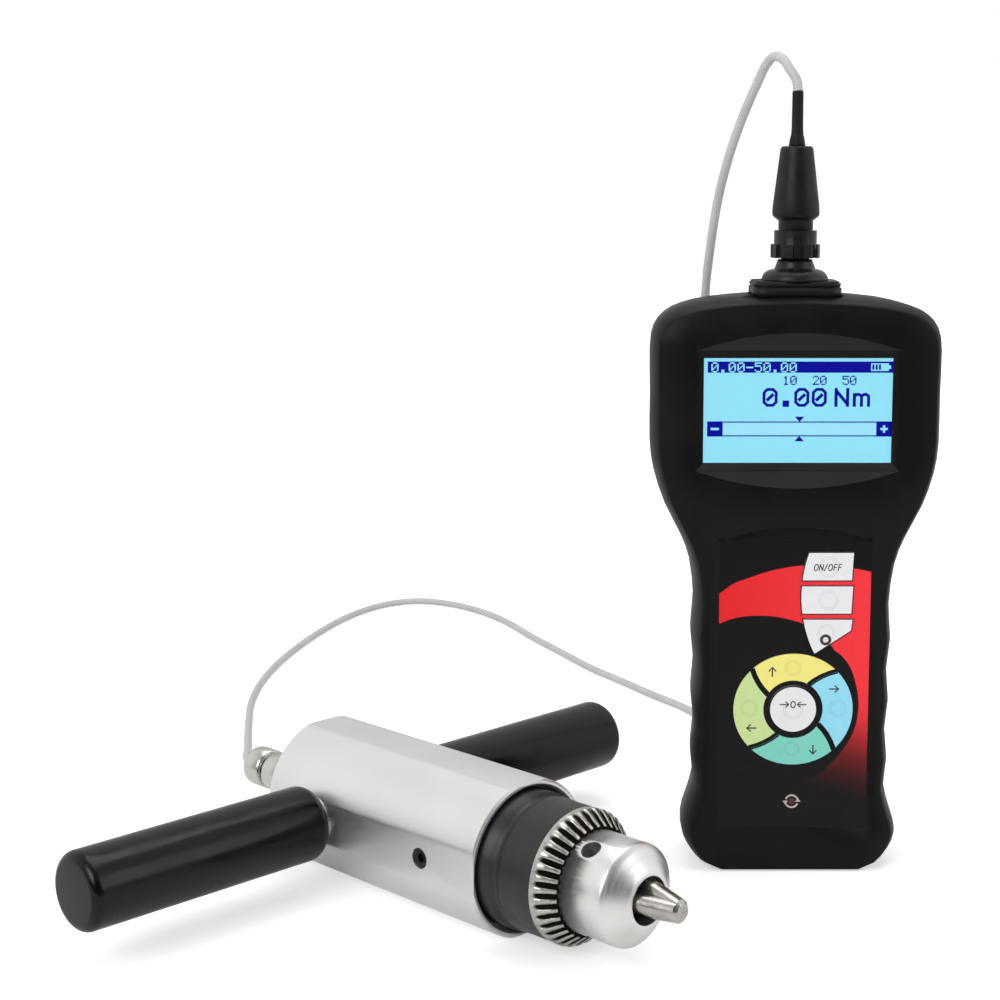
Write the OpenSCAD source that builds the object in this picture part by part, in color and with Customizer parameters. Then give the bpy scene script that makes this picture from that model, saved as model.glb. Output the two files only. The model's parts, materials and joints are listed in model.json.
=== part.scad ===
// Hand-held torque meter: an indicator that stands upright, a torque sensor
// with a T-handle and a keyed drill chuck, and the cable that joins them.
// X runs to the right, Y away from the viewer, Z up; both halves stand on Z = 0.

/* [Layout] */
// Indicator centre, to the right of the origin
indicator_x = 93.7; // [80:0.5:140]
// Front face of the indicator, behind the origin
indicator_y = 3.9; // [-20:0.5:20]
// Crossing of the sensor axis and the handle axis, along X
sensor_x = -51.8; // [-90:0.5:-40]
// Crossing of the sensor axis and the handle axis, along Y
sensor_y = 4.9; // [-20:0.5:20]
// Turn of the sensor axis from X towards the viewer, in degrees
sensor_yaw = 44.4; // [35:0.1:55]

/* [Indicator case] */
// Height of the case
case_h = 200; // [180:1:220]
// Width of the head of the case
head_w = 99; // [96:1:112]
// Depth of the case
case_d = 36; // [35:1:42]
// Depth of the front cover, from its face to the joint
split_y = 16; // [15:0.5:18]
// Wall of both covers
case_wall = 2.6; // [2:0.1:3]
// Wall of the front cover behind the keypad and round the window
face_wall = 3.2; // [3:0.1:4]
// Radius of the pillars that the case screws run into
pillar_r = 3.2; // [2.8:0.1:3.6]
// Radius of the case screws
case_screw_r = 1.25; // [1:0.05:1.5]

/* [Display] */
// Width of the window
window_w = 63.6; // [58:0.2:66]
// Height of the window
window_h = 35.6; // [30:0.2:38]
// Drop of the window's centre below the top of the case
window_drop = 38.8; // [37:0.2:42]
// Width of the bevel round the window
bevel_w = 2.6; // [1.5:0.1:3.2]
// Depth of that bevel
bevel_d = 1.4; // [0.8:0.1:1.8]
// Thickness of the clear lens
lens_t = 1.2; // [0.8:0.1:1.5]
// Thickness of the display module
lcd_t = 4.6; // [3:0.1:5]

/* [Keypad] */
// Width of the keypad sheet
keypad_w = 51.6; // [49:0.2:53]
// Height of the keypad sheet
keypad_h = 101; // [98:0.5:103]
// Lower edge of the keypad sheet above the base
keypad_z = 15.7; // [14:0.1:17]
// Thickness of the keypad sheet
keypad_t = 0.5; // [0.4:0.05:0.7]
// Thickness of a key cap
key_t = 1; // [0.8:0.1:1.2]
// How far a key stands proud of the sheet
key_proud = 0.25; // [0.1:0.05:0.4]
// Travel of a key
key_travel = 0.35; // [0.2:0.05:0.4]
// Gap round each key
key_gap = 0.15; // [0.1:0.01:0.2]
// Left edge of the column of side keys, from the case's middle
side_left_x = 1.9; // [1:0.1:3]
// Right edge of the column of side keys
side_right_x = 20; // [18:0.1:21]
// Top of the column of side keys above the base
side_top_z = 113; // [112:0.2:114]
// Height of a side key
side_key_h = 10; // [9:0.1:10.4]
// Step from one side key to the next
side_pitch = 11.6; // [11.4:0.1:12]
// Radius of the curved left edge of the side keys
side_arc_r = 46; // [40:1:60]
// Outer half width of the key wheel
wheel_rx = 20.5; // [18:0.1:21]
// Outer half height of the key wheel
wheel_rz = 19.6; // [18:0.1:20]
// Height of the key wheel's centre above the base
wheel_z = 58; // [56:0.5:60]
// Half width of the round key in the wheel
enter_r = 8.4; // [7:0.1:9]
// Radius where the four outer keys begin
wheel_inner_r = 10.2; // [9.6:0.1:12]
// Radius of the plunger under each key
plunger_r = 2; // [1.5:0.1:2.4]

/* [Inside the indicator] */
// Thickness of the circuit board
board_t = 1.6; // [1:0.1:2]
// Width left free beside the circuit board, both sides together
board_free = 45; // [43:1:51]
// Radius of a battery cell
cell_r = 7.1; // [6:0.05:7.2]
// Length of a battery cell
cell_l = 50; // [44:0.5:52]
// Width of the battery door
door_w = 48; // [47:0.5:50]
// Height of the battery door
door_h = 66; // [65:1:72]
// Thickness of the battery door
door_t = 1.8; // [1.4:0.1:2.2]

/* [Connector] */
// Width of the raised collar on top of the case
collar_w = 30; // [27:0.5:34]
// Depth of that collar
collar_d = 23; // [20:0.5:24]
// Height of that collar
collar_h = 5; // [4:0.1:6]
// Radius of the domed socket flange
dome_r = 11.4; // [10:0.1:11.5]
// Height of the domed socket flange
dome_h = 3.8; // [3:0.1:5]
// Radius of the socket barrel
barrel_r = 4.8; // [4:0.1:5]
// Radius of the bayonet ring over its lugs
ring_r = 8.4; // [8:0.1:9]
// Height of the bayonet ring
ring_h = 9.2; // [8:0.1:10]
// Radius of the plug body at its lower end
plug_r = 8; // [7:0.1:8.4]
// Radius of the plug body at its upper end
plug_top_r = 5.6; // [4.5:0.1:6]
// Height of the plug body
plug_h = 25; // [20:0.5:30]
// Height of the cable boot above the plug body
boot_h = 18.4; // [14:0.2:24]
// Radius of the cable boot
boot_r = 1.95; // [1.9:0.05:2.4]

/* [Cable] */
// Diameter of the cable
cable_dia = 3.2; // [2.8:0.1:3.6]

/* [Sensor housing] */
// Diameter of the round bar that the housing is cut from
bar_dia = 51.2; // [50.4:0.2:53]
// Distance between opposite flats
flat_span = 49; // [48.4:0.2:50]
// Front face of the housing, from the handle axis
house_front = 77.7; // [76:0.1:80]
// Rear face of the housing, behind the handle axis
house_rear = 25; // [23:0.5:30]
// Radius of the bore
bore_r = 21; // [20.5:0.1:21.2]
// Radius of the mouth at the front
mouth_r = 23.4; // [23.2:0.1:23.6]
// Depth of the mouth
mouth_d = 15.7; // [14:0.1:17]
// Chamfer on the housing's ends
house_chamfer = 0.7; // [0.4:0.1:0.9]
// Thickness of the rear cover
rear_t = 4; // [3:0.5:5]
// Radius of the grub screws
grub_r = 3.4; // [3:0.1:4.5]
// Place of the grub screws along the housing
grub_at = 52.6; // [52:0.1:55]

/* [Torsion cell] */
// Width of the square measuring section
gauge_bar_w = 12; // [9:0.5:16]
// Radius of the shaft inside the bearing
journal_r = 10; // [9:0.1:11]
// Width of the bearing
bearing_w = 12; // [10:0.5:13]
// Radius of the balls
ball_r = 2.8; // [2:0.1:3.2]
// Radius of the threaded end that carries the chuck
stub_r = 6.35; // [5:0.05:7]
// Length of that threaded end
stub_l = 16; // [12:0.5:18]

/* [Handle] */
// Diameter of the handle bar
handle_dia = 16; // [12:0.5:17]
// Overall length of the handle over its grips
handle_span = 233.4; // [200:0.2:280]
// Shift of the handle in its cross hole, towards the right grip
handle_shift = -0.9; // [-2:0.1:2]
// Radius of a grip
grip_r = 12.7; // [11:0.1:13.5]
// Gap between a grip and the housing
grip_gap = 1.2; // [1:0.1:4]
// Wall of a grip over the end of the bar
grip_end_t = 2.6; // [2:0.1:4]

/* [Chuck] */
// Radius of the toothed ring
ring_gear_r = 21.6; // [21.2:0.1:22.4]
// Number of teeth on the ring
gear_teeth = 36; // [30:1:40]
// Radius of the black sleeve
sleeve_r = 22.2; // [21.8:0.1:22.4]
// Radius of the chuck nose
nose_r = 16.2; // [15.4:0.1:16.4]
// Front face of the chuck nose, from the handle axis
nose_front = 128.4; // [127:0.1:130]
// Radius of the bore in the nose
nose_bore_r = 7.6; // [7.2:0.1:7.8]
// Radius of the chuck body behind the sleeve
chuck_rear_r = 17; // [16:0.1:17.2]
// Diameter of a key pilot hole
pilot_dia = 6.5; // [5:0.1:7]
// Slope of a jaw against the chuck axis, in degrees
jaw_slope = 12; // [11:0.1:12.4]
// Radius of a jaw
jaw_r = 3.2; // [2.9:0.05:3.3]
// How far the closed jaws reach, from the handle axis
jaw_tip = 141.5; // [140:0.1:144]
// Length of a jaw
jaw_l = 48; // [44:0.5:49]

/* [Gland] */
// Radius of the cable gland
gland_r = 6.9; // [6:0.1:7.6]
// Length of the gland outside the rear cover, nut included
gland_l = 26; // [22:0.5:30]
// Place of the gland beside the sensor axis, towards the viewer
gland_side = 11; // [9:0.5:12.5]
// Height of the gland above the sensor axis
gland_up = 5; // [0:0.1:6]

/* [Hidden] */
$fn = 64;
// Overrun of every cut
over = 1;
// Clearance of a running fit on the radius
run_gap = 0.05;
// Clearance of a seated piece on each side
seat_gap = 0.02;
// Clearance of a piece that drops into a pocket
drop_gap = 0.2;
axis_h = flat_span / 2;

// Half of the case outline, from the end of the flat base to the middle of the top:
// shares of half the head's width and of the case's height
outline_shares = [
    [0.535, 0], [0.636, 0.0115], [0.713, 0.035], [0.756, 0.065], [0.719, 0.1],
    [0.671, 0.145], [0.689, 0.195], [0.669, 0.248], [0.69, 0.3], [0.672, 0.355],
    [0.695, 0.41], [0.678, 0.47], [0.711, 0.54], [0.78, 0.5875], [0.893, 0.6425],
    [0.966, 0.6975], [0.994, 0.75], [0.994, 0.83], [0.998, 0.908], [0.974, 0.943],
    [0.9, 0.966], [0.79, 0.98], [0.606, 0.991], [0.303, 0.998], [0, 1]];
outline_steps = 2;

function blend4(a, b, c, d, t) =
    b + 0.5 * t * ((c - a) + t * ((2 * a - 5 * b + 4 * c - d) + t * (3 * (b - c) + d - a)));
function keep(p, i) = p[max(0, min(len(p) - 1, i))];
half_n = len(outline_shares) - 1;
half_outline = [
    for (i = [0 : half_n - 1]) for (k = [0 : outline_steps - 1])
        let (q = i == 0
            ? outline_shares[i] + (outline_shares[i + 1] - outline_shares[i]) * k / outline_steps
            : blend4(keep(outline_shares, i - 1), outline_shares[i], outline_shares[i + 1],
                keep(outline_shares, i + 2), k / outline_steps))
        [q[0] * head_w / 2, q[1] * case_h]];
half_len = len(half_outline);
// Whole outline, anticlockwise as the viewer sees it
outline = concat(half_outline, [[0, case_h]],
    [for (i = [half_len - 1 : -1 : 0]) [-half_outline[i][0], half_outline[i][1]]]);
ring_n = len(outline);
// Sides move in by d outside the middle zone; the top moves in by d and the base by b
// inside the end zones
mid_zone = head_w / 5;
end_zone = case_h / 8;
// Share of an end's draw-in that the base takes
foot_share = 0.2;
function draw_x(x, d) = x - d * max(-1, min(1, x / mid_zone));
function draw_z(z, d, b) = z + b * max(0, 1 - z / end_zone)
    - d * max(0, 1 - (case_h - z) / end_zone);
// One ring of the case at depth y, its sides drawn in by d and its ends by e
function case_ring(y, d, e) = [for (p = outline)
    [draw_x(p[0], d), y, draw_z(p[1], e, e * foot_share)]];
// The same ring, one wall further in
function inner_ring(y, d, e) = [for (p = outline)
    [draw_x(p[0], d + case_wall), y, draw_z(p[1], e + case_wall, e * foot_share + case_wall)]];
// Closed solid through rings that follow one another; the end caps are cut into
// strips between a ring's two mirrored halves
module skin(rings) {
    n = len(rings[0]);
    last = len(rings) - 1;
    points = [for (r = rings) for (p = r) p];
    sides = [for (k = [0 : last - 1]) for (i = [0 : n - 1]) each
        let (a = k * n + i, b = k * n + (i + 1) % n)
            [[a, a + n, b + n], [a, b + n, b]]];
    strips = [for (i = [0 : ceil(n / 2) - 2]) i + 1 == n - 2 - i ? [i, i + 1, n - 1 - i]
        : [i, i + 1, n - 2 - i, n - 1 - i]];
    far = [for (f = strips) [for (k = [len(f) - 1 : -1 : 0]) last * n + f[k]]];
    polyhedron(points, concat(strips, sides, far));
}

// Depth from the face or the back, and draw-in of the sides and of the ends there
face_inset = case_d / 12;
back_inset = case_d / 4.5;
front_levels = [[0, face_inset, face_inset], [case_d / 36, face_inset * 0.72, face_inset * 0.72],
    [case_d / 9, face_inset * 0.3, face_inset * 0.3], [case_d / 4, 0, 0]];
back_levels = [[0, back_inset, back_inset * 0.8], [case_d / 50, back_inset * 0.68,
    back_inset * 0.5], [case_d / 12, back_inset * 0.36, back_inset * 0.2],
    [case_d / 4.5, back_inset * 0.1, 0]];

window_z = case_h - window_drop;
board_w = head_w - board_free;
spigot_r = barrel_r + barrel_r / 6;
nut_r_share = 1.5;
socket_y = split_y;
// Depth where the inner face of the front cover has reached its full height, clear
// of the nut of the socket
inner_level = min(case_d / 4, socket_y - spigot_r * nut_r_share * cos(30) - drop_gap);
window_hole_y = 2;
lens_margin = 1.8;
lens_y = window_hole_y + seat_gap;
lcd_y = lens_y + lens_t + drop_gap;
lcd_margin = 3.2;
keypad_y = keypad_t + 0.1 * keypad_t;
board_y = lcd_y + lcd_t + drop_gap;
board_top = window_z + window_h / 2 + lcd_margin;
board_bottom = keypad_z + keypad_z / 6;
key_cap_y = keypad_y - keypad_t - key_proud;
pocket_y = key_cap_y + key_t + key_travel + drop_gap / 4;
dome_t = 0.4;
stem_end = board_y - dome_t - key_travel - drop_gap / 8;
door_z = case_h * 0.1135;
door_lip = 1.5;
case_screw_shares = [[-0.61, 0.94], [0.61, 0.94], [-0.48, 0.06], [0.48, 0.06]];
case_screw_places = [for (s = case_screw_shares) [s[0] * head_w / 2, s[1] * case_h]];
screw_head_r = case_screw_r * 2.2;
screw_head_t = case_screw_r * 1.6;

module at_indicator() {
    translate([indicator_x, indicator_y, 0]) children();
}
// Lays a flat drawing of the face into the case at depth y, t thick
module on_face(y, t) {
    translate([0, y + t, 0]) rotate([90, 0, 0]) linear_extrude(t) children();
}
// Cylinder that runs from depth y towards the back
module along_y(x, y, z, r, l) {
    translate([x, y, z]) rotate([-90, 0, 0]) cylinder(r = r, h = l);
}
module box_y(w, y, t, z, h) {
    translate([-w / 2, y, z]) cube([w, t, h]);
}

// Shallow scoop above and below the window: a large cylinder dipped into the face,
// kept between the mitre lines of the bevel
scoop_h = window_h / 6;
scoop_depth = bevel_d * 0.62;
scoop_half_w = window_w / 2 + bevel_w;
scoop_r = scoop_half_w * scoop_half_w / (2 * scoop_depth);
module scoop(turn) {
    edge = window_h / 2 + bevel_w;
    tilt = atan(scoop_depth / scoop_h);
    side = scoop_half_w - bevel_w - over;
    foot = edge - bevel_w - over;
    translate([0, 0, window_z]) rotate([0, turn, 0]) intersection() {
        translate([0, scoop_depth, edge]) rotate([tilt, 0, 0]) translate([0, -scoop_r, -edge])
            cylinder(r = scoop_r, h = 2 * edge, $fn = 720);
        on_face(-over, 2 * bevel_d + over) polygon([[-side, foot], [side, foot],
            [scoop_half_w, edge], [scoop_half_w, edge + 2 * scoop_h],
            [-scoop_half_w, edge + 2 * scoop_h], [-scoop_half_w, edge]]);
    }
}
module window_bevel() {
    w0 = window_w / 2 + bevel_w;
    h0 = window_h / 2 + bevel_w;
    w1 = window_w / 2;
    h1 = window_h / 2;
    grow = 1 + over / bevel_d;
    // The frustum starts in front of the face, on the same slopes
    w2 = w1 + (w0 - w1) * grow;
    h2 = h1 + (h0 - h1) * grow;
    translate([0, 0, window_z]) polyhedron(
        [[-w2, -over, -h2], [w2, -over, -h2], [w2, -over, h2], [-w2, -over, h2],
            [-w1, bevel_d, -h1], [w1, bevel_d, -h1], [w1, bevel_d, h1], [-w1, bevel_d, h1]],
        [[3, 2, 1, 0], [4, 5, 6, 7], [1, 5, 4, 0], [2, 6, 5, 1], [3, 7, 6, 2], [0, 4, 7, 3]]);
}

// Outlines of the keys, as the viewer sees them, each grown by g on every side
side_arc_z = side_top_z - side_key_h * 1.5;
function side_left(z) =
    side_left_x + side_arc_r - sqrt(side_arc_r * side_arc_r - (z - side_arc_z) * (z - side_arc_z));
function side_strip(z0, z1, g, n) = [for (i = [0 : n]) let (z = z1 + (z0 - z1) * i / n)
    [side_left(z) - g, z]];
side_slant = side_pitch / 24;
module side_shape(row, g) {
    z1 = side_top_z - row * side_pitch + g;
    z0 = z1 - side_key_h - 2 * g;
    x1 = side_right_x + g;
    polygon(concat(side_strip(z0, z1, g, 6), [[x1 - side_slant, z0], [x1, z1]]));
}
module light_shape(g) {
    z1 = side_top_z - 2 * side_pitch + g;
    z0 = z1 - side_key_h * 1.23 - 2 * g;
    x1 = side_right_x + g;
    polygon(concat(side_strip(z0, z1, g, 8),
        [[side_left(z0) + side_slant, z0], [x1 - side_slant, z1 - side_key_h * 0.42 - 2 * g],
            [x1, z1]]));
}
// The wheel's segments end at spiral gaps, whose angle falls from the inside out
gap_inner_angle = 59;
gap_outer_angle = 43.7;
segment_gap = wheel_inner_r / 11;
segment_steps = 4;
quarter = 90;
arc_steps = 14;
function gap_angle(s) = gap_inner_angle + (gap_outer_angle - gap_inner_angle) * s;
function wheel_rim(a, s, g) =
    let (rx = wheel_inner_r + (wheel_rx - wheel_inner_r) * s + (2 * s - 1) * g,
        rz = wheel_inner_r + (wheel_rz - wheel_inner_r) * s + (2 * s - 1) * g)
    [rx * cos(a), rz * sin(a)];
function gap_half(s, g) =
    asin((segment_gap / 2 - g) / (wheel_inner_r + (wheel_rx - wheel_inner_r) * s));
module segment_shape(turn, g) {
    rise = [for (i = [0 : segment_steps]) let (s = i / segment_steps)
        wheel_rim(gap_angle(s) + gap_half(s, g) + turn, s, g)];
    fall = [for (i = [segment_steps : -1 : 0]) let (s = i / segment_steps)
        wheel_rim(gap_angle(s) - gap_half(s, g) + turn + quarter, s, g)];
    out0 = gap_outer_angle + gap_half(1, g);
    out1 = gap_outer_angle - gap_half(1, g) + quarter;
    in0 = gap_inner_angle + gap_half(0, g);
    in1 = gap_inner_angle - gap_half(0, g) + quarter;
    outer = [for (i = [1 : arc_steps - 1])
        wheel_rim(out0 + (out1 - out0) * i / arc_steps + turn, 1, g)];
    inner = [for (i = [arc_steps - 1 : -1 : 1])
        wheel_rim(in0 + (in1 - in0) * i / arc_steps + turn, 0, g)];
    translate([0, wheel_z]) polygon(concat(rise, outer, fall, inner));
}
module enter_shape(g) {
    translate([0, wheel_z]) circle(r = enter_r + g);
}
// Keys in order: power, unit, light, up, right, down, left, enter
key_count = 8;
module key_shape(i, g) {
    if (i == 0) side_shape(0, g);
    if (i == 1) side_shape(1, g);
    if (i == 2) light_shape(g);
    if (i > 2 && i < 7) segment_shape(-quarter * (i - 3), g);
    if (i == 7) enter_shape(g);
}
side_mid_x = (side_left_x + side_right_x) / 2;
segment_mid_r = (wheel_inner_r + wheel_rz) / 2;
segment_mid_angle = (gap_inner_angle + gap_outer_angle + quarter) / 2;
stem_places = [[side_mid_x, side_top_z - side_key_h / 2],
    [side_mid_x, side_top_z - side_key_h / 2 - side_pitch],
    [side_mid_x, side_top_z - side_key_h / 2 - 2 * side_pitch],
    for (k = [0 : 3]) let (a = segment_mid_angle - quarter * k)
        [segment_mid_r * cos(a), wheel_z + segment_mid_r * sin(a)],
    [0, wheel_z]];
module key(i, tint) {
    color(tint) at_indicator() {
        on_face(key_cap_y, key_t) key_shape(i, 0);
        along_y(stem_places[i][0], key_cap_y + key_t / 2, stem_places[i][1], plunger_r,
            stem_end - key_cap_y - key_t / 2);
    }
}

standoff_r = plunger_r;
standoff_shares = [[-0.44, 0.135], [0.44, 0.135], [-0.44, 0.61], [0.44, 0.61]];
standoff_places = [for (s = standoff_shares) [s[0] * board_w, s[1] * case_h]];
module front_cover() {
    color("#2a2a2a") at_indicator() difference() {
        union() {
            skin(concat([inner_ring(face_wall, face_inset, face_inset),
                inner_ring(inner_level, 0, 0), inner_ring(split_y, 0, 0), case_ring(split_y, 0, 0)],
                [for (i = [len(front_levels) - 1 : -1 : 0]) let (l = front_levels[i])
                    case_ring(l[0], l[1], l[2])]));
            for (p = case_screw_places)
                along_y(p[0], face_wall / 2, p[1], pillar_r, split_y - face_wall / 2);
            for (p = standoff_places)
                along_y(p[0], face_wall / 2, p[1], standoff_r, board_y - face_wall / 2);
        }
        window_bevel();
        scoop(0);
        scoop(180);
        box_y(window_w, bevel_d / 2, face_wall + over, window_z - window_h / 2, window_h);
        box_y(window_w + 2 * lens_margin, window_hole_y, face_wall,
            window_z - window_h / 2 - lens_margin, window_h + 2 * lens_margin);
        box_y(keypad_w + 2 * seat_gap, -over, keypad_y + over, keypad_z - seat_gap,
            keypad_h + 2 * seat_gap);
        for (i = [0 : key_count - 1]) {
            on_face(0, pocket_y) key_shape(i, key_gap);
            along_y(stem_places[i][0], 0, stem_places[i][1], plunger_r + key_gap,
                face_wall + over);
        }
        for (p = case_screw_places)
            along_y(p[0], face_wall + over, p[1], case_screw_r + seat_gap, split_y);
        for (p = standoff_places)
            along_y(p[0], face_wall + over, p[1], board_screw_r + seat_gap, board_y);
        collar_cut();
    }
}
module rear_cover() {
    color("#2a2a2a") at_indicator() difference() {
        union() {
            skin(concat([for (l = back_levels) case_ring(case_d - l[0], l[1], l[2])],
                [case_ring(split_y, 0, 0), inner_ring(split_y, 0, 0),
                    inner_ring(case_d - case_d / 4.5, back_inset * 0.1, 0),
                    inner_ring(case_d - case_d / 12 - case_wall / 2, back_inset * 0.3,
                        back_inset * 0.2),
                    inner_ring(case_d - case_wall, back_inset - case_wall,
                        back_inset * 0.8 - case_wall)]));
            for (p = case_screw_places)
                along_y(p[0], split_y, p[1], pillar_r, case_d - case_wall / 2 - split_y);
            box_y(bay_w + 2 * bay_wall, bay_y - bay_wall, case_d - case_wall / 2 - bay_y + bay_wall,
                bay_z - bay_wall, bay_h + 2 * bay_wall);
            along_y(0, door_screw_y0, door_screw_z, pillar_r, case_d - case_wall / 2 - door_screw_y0);
        }
        for (p = case_screw_places) {
            along_y(p[0], split_y - over, p[1], case_screw_r + drop_gap, case_d);
            along_y(p[0], case_d - screw_head_t, p[1], screw_head_r + drop_gap, case_d);
        }
        box_y(door_w + 2 * drop_gap, case_d - door_t, door_t + over, door_z - drop_gap,
            door_h + 2 * drop_gap);
        box_y(bay_w, bay_y, case_d, bay_z, bay_h);
        along_y(0, door_screw_y0 - over, door_screw_z, case_screw_r + seat_gap, case_d);
        collar_cut();
    }
}
// Battery bay behind the door, open at the back
cell_pitch = 2 * cell_r + drop_gap;
cell_count = 3;
bay_w = cell_count * cell_pitch + 2 * drop_gap;
bay_wall = 1.4;
bay_y = case_d - door_t - 2 * cell_r - 6 * drop_gap;
bay_z = door_z + door_lip;
contact_t = 0.4;
spring_l = 2.3;
bay_h = cell_l + spring_l + 2 * contact_t + 2 * drop_gap;
door_screw_z = bay_z + bay_h + pillar_r;
door_screw_y0 = case_d - case_d / 3;
board_screw_r = 0.9;
cell_nub = cell_r / 5;
module battery_door() {
    color("#2a2a2a") at_indicator() difference() {
        union() {
            box_y(door_w, case_d - door_t + seat_gap, door_t - seat_gap, door_z, door_h);
            box_y(bay_w - 4 * drop_gap, case_d - door_t - 2 * drop_gap, door_t, bay_z + drop_gap,
                bay_h - 2 * drop_gap);
        }
        along_y(0, 0, door_screw_z, case_screw_r + drop_gap, case_d + over);
        along_y(0, case_d - screw_head_t / 2, door_screw_z, screw_head_r + drop_gap, case_d);
        // Grooves that give the thumb a hold
        for (k = [0 : 4])
            box_y(door_w / 2.4, case_d - door_t / 4, door_t, door_z + door_lip + k * door_lip * 1.6,
                door_lip * 0.7);
    }
}
module screw_y(x, z, y0, head_y, r, head_r, head_t) {
    difference() {
        union() {
            along_y(x, y0, z, r, head_y - y0);
            along_y(x, head_y - head_t, z, head_r, head_t);
        }
        translate([x, head_y - head_t / 2, z]) rotate([-90, 0, 0])
            cylinder(r = head_r / 2, h = head_t, $fn = 6);
    }
}
module door_screw() {
    color("#9a9a9a") at_indicator() screw_y(0, door_screw_z, door_screw_y0 + seat_gap,
        case_d - screw_head_t / 2 + screw_head_t, case_screw_r, screw_head_r, screw_head_t);
}
module case_screws() {
    color("#55565a") at_indicator() for (p = case_screw_places)
        screw_y(p[0], p[1], face_wall + 2 * over, case_d - seat_gap, case_screw_r, screw_head_r,
            screw_head_t - seat_gap);
}
module board_screws() {
    color("#c8c8c8") at_indicator() for (p = standoff_places)
        screw_y(p[0], p[1], face_wall + 2 * over, board_y + board_t + 2 * board_screw_r,
            board_screw_r, 2 * board_screw_r, 2 * board_screw_r - seat_gap);
}
module display_lens() {
    color("#dfe8ea", 0.35) at_indicator()
        box_y(window_w + 2 * lens_margin - 2 * seat_gap, lens_y, lens_t,
            window_z - window_h / 2 - lens_margin + seat_gap, window_h + 2 * lens_margin
            - 2 * seat_gap);
}
module lcd_module() {
    color("#a7d8ec") at_indicator()
        box_y(window_w + 2 * lcd_margin, lcd_y, lcd_t, window_z - window_h / 2 - lcd_margin,
            window_h + 2 * lcd_margin);
}
module keypad_sheet() {
    color("#1d1d1d") at_indicator() difference() {
        box_y(keypad_w, keypad_y - keypad_t, keypad_t, keypad_z, keypad_h);
        for (i = [0 : key_count - 1]) on_face(-over, keypad_y + 2 * over) key_shape(i, key_gap);
    }
}
module power_key() { key(0, "#f2f2f2"); }
module unit_key() { key(1, "#f2f2f2"); }
module light_key() { key(2, "#f2f2f2"); }
module up_key() { key(3, "#f6e680"); }
module right_key() { key(4, "#8ed3f4"); }
module down_key() { key(5, "#82cfc0"); }
module left_key() { key(6, "#c6dd95"); }
module enter_key() { key(7, "#f4f4f4"); }
module main_board() {
    chip = board_w / 5;
    color("#1f6b3a") at_indicator() difference() {
        union() {
            box_y(board_w, board_y, board_t, board_bottom, board_top - board_bottom);
            for (k = [0 : 2]) translate([0, 0, board_top - chip * (k * 1.8 + 1.6)])
                box_y(chip * (1 + k * 0.4), board_y + board_t / 2, board_t * 1.5, 0, chip);
        }
        for (p = standoff_places)
            along_y(p[0], 0, p[1], board_screw_r + drop_gap / 2, case_d);
    }
}
module dome_switches() {
    color("#d5d5d5") at_indicator() for (p = stem_places)
        along_y(p[0], board_y - dome_t, p[1], plunger_r * 1.1, dome_t);
}
module battery_cells() {
    color("#3d6fb0") at_indicator() for (k = [0 : cell_count - 1])
        translate([(k - (cell_count - 1) / 2) * cell_pitch, bay_y + cell_r + drop_gap,
            bay_z + drop_gap + contact_t + spring_l]) {
            cylinder(r = cell_r, h = cell_l - cell_nub);
            cylinder(r = cell_r / 2.6, h = cell_l);
        }
}
module battery_contacts() {
    color("#d8d8d8") at_indicator() for (k = [0 : cell_count - 1])
        translate([(k - (cell_count - 1) / 2) * cell_pitch, bay_y + cell_r + drop_gap, 0]) {
            translate([-cell_r * 0.7, -cell_r * 0.7, bay_z])
                cube([cell_r * 1.4, cell_r * 1.4, contact_t]);
            translate([0, 0, bay_z + contact_t / 2])
                cylinder(r1 = cell_r * 0.6, r2 = cell_r * 0.3, h = contact_t / 2 + spring_l);
            translate([-cell_r * 0.7, -cell_r * 0.7, bay_z + bay_h - contact_t])
                cube([cell_r * 1.4, cell_r * 1.4, contact_t]);
        }
}

// Connector stack on top of the case
collar_sink = 1.2;
collar_foot = case_h - collar_sink;
collar_top = case_h + collar_h - collar_h / 7;
collar_corner = collar_d / 5;
collar_edge = collar_h / 9;
module rounded_slab(w, d, h, r) {
    translate([-w / 2 + r, -d / 2, 0]) cube([w - 2 * r, d, h]);
    translate([-w / 2, -d / 2 + r, 0]) cube([w, d - 2 * r, h]);
    for (x = [-1, 1]) for (y = [-1, 1])
        translate([x * (w / 2 - r), y * (d / 2 - r), 0]) cylinder(r = r, h = h);
}
module collar_cut() {
    translate([0, socket_y, collar_foot])
        rounded_slab(collar_w + 2 * seat_gap, collar_d + 2 * seat_gap, case_h,
            collar_corner + seat_gap);
    translate([0, socket_y, case_h - case_d / 2])
        cylinder(r = spigot_r + seat_gap, h = case_d);
}
module socket_collar() {
    step_h = (collar_top - collar_foot) / 2 + collar_sink / 2;
    color("#232323") at_indicator() translate([0, socket_y, collar_foot]) difference() {
        union() {
            rounded_slab(collar_w, collar_d, step_h, collar_corner);
            rounded_slab(collar_w - 2 * collar_edge, collar_d - 2 * collar_edge,
                step_h + collar_edge, collar_corner - collar_edge);
            translate([0, 0, step_h + collar_edge]) rounded_slab(collar_w - collar_edge,
                collar_d - collar_edge, collar_top - collar_foot - step_h - 2 * collar_edge,
                collar_corner - collar_edge / 2);
            rounded_slab(collar_w - 3 * collar_edge, collar_d - 3 * collar_edge,
                collar_top - collar_foot, collar_corner - collar_edge * 1.5);
        }
        translate([0, 0, -over]) cylinder(r = spigot_r + seat_gap, h = collar_top);
    }
}
dome_top = collar_top + dome_h;
dome_top_r = barrel_r * 1.46;
cone_top = dome_top + dome_h * 0.87;
cone_top_r = barrel_r * 1.2;
ring_foot = cone_top + drop_gap * 3;
barrel_top = ring_foot + ring_h * 0.72;
function arc_points(cx, cz, r, a0, a1, n) =
    [for (i = [0 : n]) let (a = a0 + (a1 - a0) * i / n) [cx + r * cos(a), cz + r * sin(a)]];
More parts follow.
